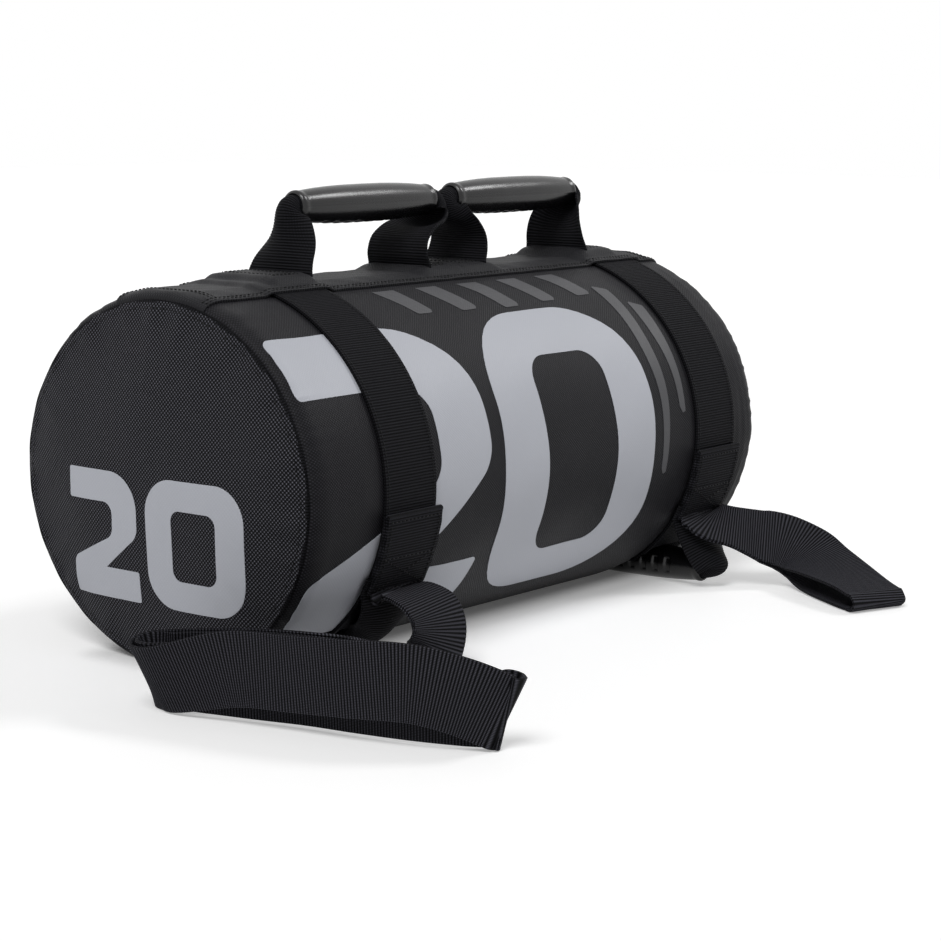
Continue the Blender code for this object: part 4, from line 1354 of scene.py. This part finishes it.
class SANDBAG_OT_straps(bpy.types.Operator):
    """Lay the two doubled straps on the floor from their roots below the front patches"""

    bl_idname = "sandbag.straps"
    bl_label = "Straps"

    def execute(self, context):
        for name, place in band_places().items():
            self.strap(name, place, **strap_courses[name])
        return {"FINISHED"}

    def strap(self, name, place, root, pinch, loop):
        bag, web = settings("bag", "webbing")
        angle = -patch_angles[1] - 2 * clearance / top_of_bag(bag)
        foot = skin(place, angle, 2.5 * web.thickness + 3 * clearance)
        leans = unit(np.array([stop[1] for stop in (*root, *loop)], float))
        stops = [(*(foot + np.array(stop)), root_gap, 0.0) for stop, _ in root]
        for (stop, _, (gap, lift)), lean in zip(loop, leans[len(root):]):
            half = (web.thickness + seam_gap + (strap_gap - seam_gap) * gap) / 2
            rest = web.strap_width / 2 * abs(lean[2])
            rest += (half + web.thickness / 2) * math.hypot(lean[0], lean[1])
            stops.append(
                (foot[0] + stop[0], foot[1] + stop[1], stop[2] + rest + clearance, gap, lift)
            )
        joined = refine(np.concatenate([stops, leans], axis=1), stop_steps)
        places, across = joined[:, :3], unit(joined[:, 5:])
        at_root = len(root) * stop_steps
        spacing = (web.thickness + seam_gap + (strap_gap - seam_gap) * joined[:, 3]) / 2
        thin, full, slack = 0.5, 0.95, 0.0002
        thick = np.full(len(places), web.thickness * full)
        thick[:at_root + 1] = np.linspace(thin, full, at_root + 1) * web.thickness
        spacing[:at_root + 1] = np.minimum(spacing[:at_root + 1], thick[:at_root + 1] / 2 + slack)
        heading = unit(np.gradient(places, axis=0))
        face = unit(np.cross(heading, across)) * spacing[:, None]
        upper, lower = places + face, places - face
        upper[:, 2] += np.maximum(joined[:, 4], 0) * web.strap_width
        tip = (upper[-1] + lower[-1]) / 2
        tip = tip + heading[-1] * np.linalg.norm(upper[-1] - lower[-1]) / 2
        under_patch = skin(place, angle + 0.07, 2.5 * web.thickness + 2 * clearance)
        upper[0] = (upper[0] + under_patch + face[0]) / 2
        lower[0] = (lower[0] + under_patch - face[0]) / 2
        wide = np.full(len(places), web.strap_width)
        share = np.arange(at_root + 5) / (at_root + 4)
        wide[:at_root + 5] = web.width + (web.strap_width - web.width) * share
        depth, stop, spread = pinch
        wide -= depth * bell(np.arange(len(places)) / stop_steps, stop, spread)
        across, widths, depths = (
            np.concatenate([values, values[-1:], values[::-1]])
            for values in (across, wide, thick)
        )
        # The straps take a copy of the webbing painted lighter, its rib crowns 56 times the tint,
        # for the light that falls on them in front of the bag
        piece = rib(ribbon(
            f"{name}_strap_webbing", np.concatenate([upper, [tip], lower[::-1]]), across, widths,
            depths, 0.0, web.rib_pitch, webbing_finish("black_strap_webbing", ridges=56.0),
            columns=15,
        ))
        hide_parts(f"{name}_strap_root", f"{name}_strap_loop")
        tuple(places[at_root])
        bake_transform(piece)


# Zip


class SANDBAG_OT_zip(bpy.types.Operator):
    """Weave the zip's tapes and finish its metal pieces"""

    bl_idname = "sandbag.zip"
    bl_label = "Zip"

    def execute(self, context):
        web = settings("webbing")
        low, high = zip_span()
        one, other = (skin(low, turn) for turn in zip_angles)
        slot = np.linalg.norm(other - one)
        across = (other - one) / slot
        out = np.cross([1.0, 0, 0], across)
        inner, outer, sunk, thick = 0.0004, slot / 2 - clearance, 0.00085, 0.0011
        for name, side in (("upper", -1), ("lower", 1)):
            xs = np.linspace(low + clearance, high - clearance, 240)
            place = (one + other) / 2 + across * side * (inner + outer) / 2 - out * sunk
            piece = ribbon(
                f"zip_{name}_webbing", np.stack([xs, *(0 * xs + part for part in place[1:])], -1),
                np.tile(across, (len(xs), 1)), outer - inner, thick, 0.0, web.rib_pitch,
                webbing_finish("zip_tape_twill", 0.0006), columns=7,
            )
            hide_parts(f"zip_{name}_tape")
            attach(piece, "bag")
        for node in (
            "zip_upper_teeth", "zip_lower_teeth", "zip_start_stop", "zip_end_stop", "zip_slider",
            "zip_pull",
        ):
            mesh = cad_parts[node].data
            mesh.materials.clear()
            mesh.materials.append(metal_finish())
        return {"FINISHED"}


# Print


def rounded(corners, steps=12):
    """An outline whose corners, given as x, y and radius, are rounded."""
    outline = []
    for k, (*point, radius) in enumerate(corners):
        point = Vector(point)
        if radius <= 0:
            outline.append(tuple(point))
            continue
        before, after = (
            (Vector(corners[(k + way) % len(corners)][:2]) - point).normalized()
            for way in (-1, 1)
        )
        half = before.angle(after) / 2
        centre = point + (before + after).normalized() * radius / math.sin(half)
        start, end = (point + side * radius / math.tan(half) - centre for side in (before, after))
        for step in range(steps + 1):
            mixed = start.lerp(end, step / steps).normalized() * radius
            outline.append(tuple(centre + mixed))
    return outline


def block_two(stroke, width):
    low = stroke * 0.9
    return [rounded([
        (0, 1, 0.02), (width, 1, 0.3), (width, 0.52, 0.14), (width * 0.52, low, 0),
        (width, low, 0.02), (width, 0, 0.02), (0, 0, 0.02), (0, low * 1.15, 0.08),
        (width - stroke, 0.5, 0.1), (width - stroke, 1 - low, 0.1), (0, 1 - low, 0.02),
    ])]


def block_zero(stroke, width):
    low = stroke * 0.85
    return [
        rounded([(0, 1, 0.28), (width, 1, 0.28), (width, 0, 0.28), (0, 0, 0.28)]),
        rounded([
            (stroke, 1 - low, 0.09), (stroke, low, 0.09), (width - stroke, low, 0.09),
            (width - stroke, 1 - low, 0.09),
        ]),
    ]


def fill_outlines(outlines, cuts):
    """A flat mesh of the outlines, cut along lines so that it can follow a curved surface."""
    runs = [np.pad(np.array(outline), ((0, 0), (0, 1))) for outline in outlines]
    shape = curve_object("outline", runs, "2D", True)
    shape.data.fill_mode = "BOTH"
    flat = evaluated_mesh(shape)
    bpy.data.objects.remove(shape, do_unlink=True)
    work = bmesh.new()
    work.from_mesh(flat)
    bmesh.ops.remove_doubles(work, verts=work.verts, dist=1e-6)
    corners = np.array([vert.co for vert in work.verts])
    for axis, way in ((0, Vector((1, 0, 0))), (1, Vector((0, 1, 0)))):
        low, high = corners[:, axis].min(), corners[:, axis].max()
        for cut in cuts[axis][(cuts[axis] > low) & (cuts[axis] < high)]:
            bmesh.ops.bisect_plane(
                work, geom=work.verts[:] + work.edges[:] + work.faces[:], plane_co=way * cut,
                plane_no=way, dist=1e-7,
            )
    for face in work.faces:
        if face.normal.z < 0:
            face.normal_flip()
    return work


# How far the ink's face and its back stand over the cloth
ink_lift = 0.0003
ink_base = 0.00002


def print_on(name, outlines, cuts, place, surface, ink):
    """Ink as a thin closed layer: place gives the points for flat places and a lift."""
    work = fill_outlines(outlines, cuts)
    base = np.array([vert.co[:2] for vert in work.verts])
    count = len(base)
    faces = []
    for face in work.faces:
        loop = [vert.index for vert in face.verts]
        faces += [loop, [count + k for k in reversed(loop)]]
    for edge in work.edges:
        if len(edge.link_faces) == 1:
            loop = edge.link_loops[0]
            start, end = loop.vert.index, loop.link_loop_next.vert.index
            faces.append([end, start, count + start, count + end])
    work.free()
    points = np.concatenate([place(base, ink_lift), place(base, ink_base)])
    piece = make_piece(name, points, faces, ink, np.concatenate([surface(base)] * 2))
    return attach(piece, "bag")


def placed(outlines, left, low, size, way=1):
    """Outlines of height 1 at their size and place; way -1 hangs them from the top."""
    return [
        [(left + x * size, low + (y if way > 0 else 1 - y) * size) for x, y in outline]
        for outline in outlines
    ]


class SANDBAG_OT_print(bpy.types.Operator):
    """Print block numerals on the side and on the near end, and plain bars beside them"""

    bl_idname = "sandbag.print"
    bl_label = "Print"

    def execute(self, context):
        bag, ink = settings("bag", "print")
        self.side(bag, ink)
        self.end(bag, ink)
        return {"FINISHED"}

    def side(self, bag, ink):
        """Numerals, five bars above them and two lines beyond, in metres over the side."""
        radius = mean_radius(bag)
        top, size = ink.side_top * radius, ink.side_height
        light = ink_finish("light_grey_ink", ink.ink, bag.weave_pitch)
        dark = ink_finish("dark_grey_ink", ink.bars, bag.weave_pitch)
        shapes = {
            "side_numeral_two": (placed(block_two(0.235, 0.745), -0.2345, top, size, -1), light),
            "side_numeral_zero": (placed(block_zero(0.205, 0.77), -0.058, top, size, -1), light),
        }
        high = math.radians(21) * radius
        for k in range(5):
            left = -0.095 + 0.043 * k
            low = top - 0.005 - 0.002 * abs(k - 2)
            shapes[f"side_bar_{k + 1}"] = ([rounded([
                (left, high, 0), (left + 0.021, high, 0), (left + 0.033, low, 0.003),
                (left + 0.016, low, 0.003),
            ], 3)], dark)
        for k in range(2):
            left = 0.1175 + 0.021 * k
            high = top - 0.018 + 0.02 * k
            low = top + size * (0.66 - 0.2 * k)
            shapes[f"side_line_{k + 1}"] = ([rounded([
                (left, high, 0.002), (left + 0.014, high + 0.006, 0.002),
                (left + 0.010, low, 0.002), (left + 0.004, low - 0.010, 0.002),
            ], 3)], dark)
        for name, (outlines, finish) in shapes.items():
            print_on(
                name, outlines, (stations(), around(turns) * radius),
                lambda flat, lift: cloth(flat[:, 0], -flat[:, 1] / radius, lift),
                lambda flat: cloth_places(flat[:, 0], -flat[:, 1]), finish,
            )

    def end(self, bag, ink):
        finish = ink_finish("light_grey_ink_on_end", ink.ink, bag.end_pitch)
        grid = (np.arange(-0.12, 0.12, 0.0025), np.arange(0, 0.24, 0.0025))
        for name, outlines, left in (
            ("two", block_two(0.27, 0.76), -0.076), ("zero", block_zero(0.27, 1.0), -0.0045)
        ):
            print_on(
                f"end_numeral_{name}", placed(outlines, left, 0.0395, ink.end_height), grid,
                lambda flat, lift: end_place(bag, flat, lift),
                lambda flat: cloth_places(-flat[:, 0], flat[:, 1]), finish,
            )


def end_place(bag, flat, lift):
    """Points on the near end panel for places from the left and up, seen from outside."""
    y, z = -flat[:, 0], flat[:, 1]
    hub = middle_height(bag)
    wide, tall = bag.width / 2 - bag.rim_draw, top_of_bag(bag) - bag.rim_draw
    turn = np.arctan2(y / wide, (z - hub) / tall)
    edge = skin(-bag.length / 2, turn)
    reach = np.hypot(edge[:, 1], edge[:, 2] - hub)
    share = np.minimum(np.hypot(y, z - hub) / reach, 1)
    return np.stack([-(end_out(bag, share, turn) + bag.wall + lift), y, z], -1)


# Stitching


class SANDBAG_OT_stitches(bpy.types.Operator):
    """Sew the rows of stitches along the strip, the bands, the patches and the feet"""

    bl_idname = "sandbag.stitches"
    bl_label = "Stitches"

    def execute(self, context):
        bag, web = settings("bag", "webbing")
        sew("strip_stitches", self.strip_rows(bag, web), "bag")
        sew("band_stitches", self.band_rows(web), "bag")
        sew("patch_stitches", self.patch_rows(web), "bag")
        sew("end_stitches", self.end_rows(bag), "bag", pitch=0.0042)
        return {"FINISHED"}

    def on_strip(self, bag, x, angle, share):
        """A row on the strip; share is the stitches' place in its thickness."""
        x, angle = np.broadcast_arrays(x, angle)
        return skin(x, angle, strip_lift(x, angle) + bag.strip * share + 0.0001)

    def strip_rows(self, bag, web):
        xs = np.linspace(-bag.length / 2 + 0.003, bag.length / 2 - 0.003, 260)
        rows = [
            self.on_strip(bag, xs, strip_angle * turn, share)
            for turn, share in ((-0.955, 1.06), (-0.875, 0.88), (0.955, 1.06), (0.875, 0.88))
        ]
        across = np.linspace(-strip_angle * 0.95, strip_angle * 0.95, 50)
        rows += [self.on_strip(bag, x, across, 0.9) for x in (-0.2295, -0.2262, 0.2295, 0.2262)]
        for low, high in tab_boxes():
            for inset in (0.003, 0.0055):
                left, right = low.x + inset, high.x - inset
                turn = math.asin((web.width / 2 - inset) / (bag.width / 2))
                flat = refine_straight([
                    (left, -turn), (right, -turn), (right, turn), (left, turn), (left, -turn)
                ], 20)
                rows.append(self.on_strip(bag, *flat.T, 0.88))
        return rows

    def band_rows(self, web):
        course = np.linspace(strip_angle + 0.01, patch_angles[0] - 0.01, 120)
        inset = web.band_width / 2 - 0.0028
        return [
            skin(place + reach * inset, side * course, clearance + web.thickness + 0.00008)
            for place in band_places().values() for side in (-1, 1) for reach in (-1, 1)
        ]

    def patch_rows(self, web):
        first, last = patch_angles
        half = web.band_width / 2 - 0.0014
        high, middle, low = first + 0.028, last - 0.20, last - 0.022
        loops = (
            [(-half, high), (half, high), (half, low), (-half, low), (-half, high)],
            [(-half, middle), (half, low)], [(half, middle), (-half, low)],
            [(-half, middle), (half, middle)],
        )
        lift = web.thickness * 3.04 + 2 * clearance + 0.0003
        return [
            skin(place + flat[:, 0], side * flat[:, 1], lift)
            for place in band_places().values() for side in (-1, 1)
            for flat in (refine_straight(loop, 16) for loop in loops)
        ]

    def end_rows(self, bag):
        rows = []
        turn = np.linspace(-math.pi, math.pi, 300)
        hub = np.array([0, middle_height(bag)])
        share = 0.962
        for side in (-1, 1):
            flat = hub + (skin(side * bag.length / 2, turn)[:, 1:] - hub) * share
            x = side * (end_out(bag, share, turn) + bag.wall)
            rows.append(np.concatenate([x[:, None], flat], 1))
        return rows


# Stage


camera_place = (-1.267, -1.094, 0.366)
camera_target = (0.0644, 0, 0.0872)
# Suns: where they shine from, their spread in degrees, and the setting of their strength
suns = {
    "key_light": ((-0.66, -0.28, 0.96), 26, "key"),
    "rim_light": ((0.75, -0.42, 0.75), 14, "rim"),
}


def seen_directly(tree):
    """One for the camera's rays and for those that metal or glass passes on."""
    path = add_node(tree, "ShaderNodeLightPath").outputs
    passed = math_node(tree, "MAXIMUM", path["Is Glossy Ray"], path["Is Transmission Ray"])
    return math_node(tree, "MAXIMUM", path["Is Camera Ray"], passed)


class SANDBAG_OT_stage(bpy.types.Operator):
    """Set the pale floor, the soft lights and the camera"""

    bl_idname = "sandbag.stage"
    bl_label = "Stage"

    def execute(self, context):
        bag, stage = settings("bag", "stage")
        scene = context.scene
        self.floor(bag, stage)
        self.world(scene, stage)
        for name, (place, spread, setting) in suns.items():
            lamp = bpy.data.lights.new(name, "SUN")
            lamp.angle = math.radians(spread)
            lamp.energy = getattr(stage, setting)
            self.aim(name, lamp, place, (0, 0, 0))
        self.camera(scene, stage)
        scene.view_settings.view_transform = "Standard"
        return {"FINISHED"}

    def floor(self, bag, stage):
        half = stage.floor_size / 2
        corners = [(-half, -half), (half, -half), (half, half), (-half, half)]
        mesh = bpy.data.meshes.new("floor")
        mesh.from_pydata([(x, y, -0.0001) for x, y in corners], [], [(0, 1, 2, 3)])
        floor = bpy.data.objects.new("floor", mesh)
        bpy.context.scene.collection.objects.link(floor)
        material = bpy.data.materials.new("white_floor")
        material.use_nodes = True
        tree = material.node_tree
        glow = math_node(tree, "MULTIPLY", seen_directly(tree), self.glow_with_painted_shadow(tree, bag, stage))
        for label, value in (
            ("Base Color", (0.9, 0.9, 0.9, 1)), ("Roughness", 0.6), ("Specular IOR Level", 0.2),
            ("Emission Color", (1, 1, 1, 1)), ("Emission Strength", glow),
        ):
            feed(tree, tree.nodes["Principled BSDF"].inputs[label], value)
        mesh.materials.append(material)

    def glow_with_painted_shadow(self, tree, bag, stage):
        """The floor's glow, which fades to little below the bag: a painted contact shadow."""
        place = add_node(tree, "ShaderNodeTexCoord").outputs["Object"]
        parts = add_node(tree, "ShaderNodeSeparateXYZ", {0: place}).outputs
        squares = []
        for part, half in zip(parts, (bag.length / 2, stage.painted_shadow_width / 2)):
            past = math_node(tree, "SUBTRACT", math_node(tree, "ABSOLUTE", part), half)
            past = math_node(tree, "MAXIMUM", past, 0.0)
            squares.append(math_node(tree, "MULTIPLY", past, past))
        away = math_node(tree, "SQRT", math_node(tree, "ADD", *squares))
        return add_node(tree, "ShaderNodeMapRange", {
            "Value": away, "From Max": stage.painted_shadow_fade, "To Min": stage.painted_shadow_glow,
            "To Max": stage.glow,
        }, interpolation_type="SMOOTHSTEP").outputs[0]

    def world(self, scene, stage):
        world = scene.world = bpy.data.worlds.new("studio")
        world.use_nodes = True
        tree = world.node_tree
        back = tree.nodes["Background"].inputs
        back["Color"].default_value = (1, 1, 1, 1)
        strength = math_node(
            tree, "MULTIPLY_ADD", seen_directly(tree), 1 - stage.fill, stage.fill
        )
        tree.links.new(strength, back["Strength"])

    def camera(self, scene, stage):
        camera = bpy.data.cameras.new("camera")
        camera.lens = stage.lens
        camera.sensor_width = 36
        camera.clip_end = 50
        scene.camera = self.aim("camera", camera, camera_place, camera_target)

    def aim(self, name, data, place, target):
        holder = bpy.data.objects.new(name, data)
        holder.location = place
        way = Vector(target) - Vector(place)
        holder.rotation_euler = way.to_track_quat("-Z", "Y").to_euler()
        bpy.context.scene.collection.objects.link(holder)
        return holder


class SANDBAG_PT_pieces(bpy.types.Panel):
    """Lists the bag's pieces and their settings"""

    bl_label = "Sandbag trainer"
    bl_idname = "SANDBAG_PT_pieces"
    bl_space_type = "VIEW_3D"
    bl_region_type = "UI"
    bl_category = "Sandbag"

    def draw(self, context):
        column = self.layout.column()
        for operator in steps:
            column.operator(operator.bl_idname)
        for name, kind in groups.items():
            box = self.layout.box()
            for setting in kind.__annotations__:
                box.prop(getattr(context.scene, name), setting)


groups = {
    "sandbag_bag": BagSettings,
    "sandbag_webbing": WebbingSettings,
    "sandbag_grip": GripSettings,
    "sandbag_print": PrintSettings,
    "sandbag_stage": StageSettings,
}
steps = (
    SANDBAG_OT_stage, SANDBAG_OT_shell, SANDBAG_OT_filling, SANDBAG_OT_bands, SANDBAG_OT_top_strip,
    SANDBAG_OT_top_handles, SANDBAG_OT_lower_handles, SANDBAG_OT_straps, SANDBAG_OT_zip,
    SANDBAG_OT_print, SANDBAG_OT_stitches,
)


def register():
    for kind in (*groups.values(), *steps, SANDBAG_PT_pieces):
        bpy.utils.register_class(kind)
    for name, kind in groups.items():
        setattr(bpy.types.Scene, name, PointerProperty(type=kind))


def unregister():
    for name in groups:
        delattr(bpy.types.Scene, name)
    for kind in reversed((*groups.values(), *steps, SANDBAG_PT_pieces)):
        bpy.utils.unregister_class(kind)


def main():
    register()
    bpy.ops.sandbag.stage()
    bpy.ops.sandbag.shell()
    bpy.ops.sandbag.filling()
    bpy.ops.sandbag.bands()
    bpy.ops.sandbag.top_strip()
    bpy.ops.sandbag.top_handles()
    bpy.ops.sandbag.lower_handles()
    bpy.ops.sandbag.straps()
    bpy.ops.sandbag.zip()
    bpy.ops.sandbag.print()
    bpy.ops.sandbag.stitches()
    bpy.context.view_layer.update()


if __name__ == "__main__":
    main()
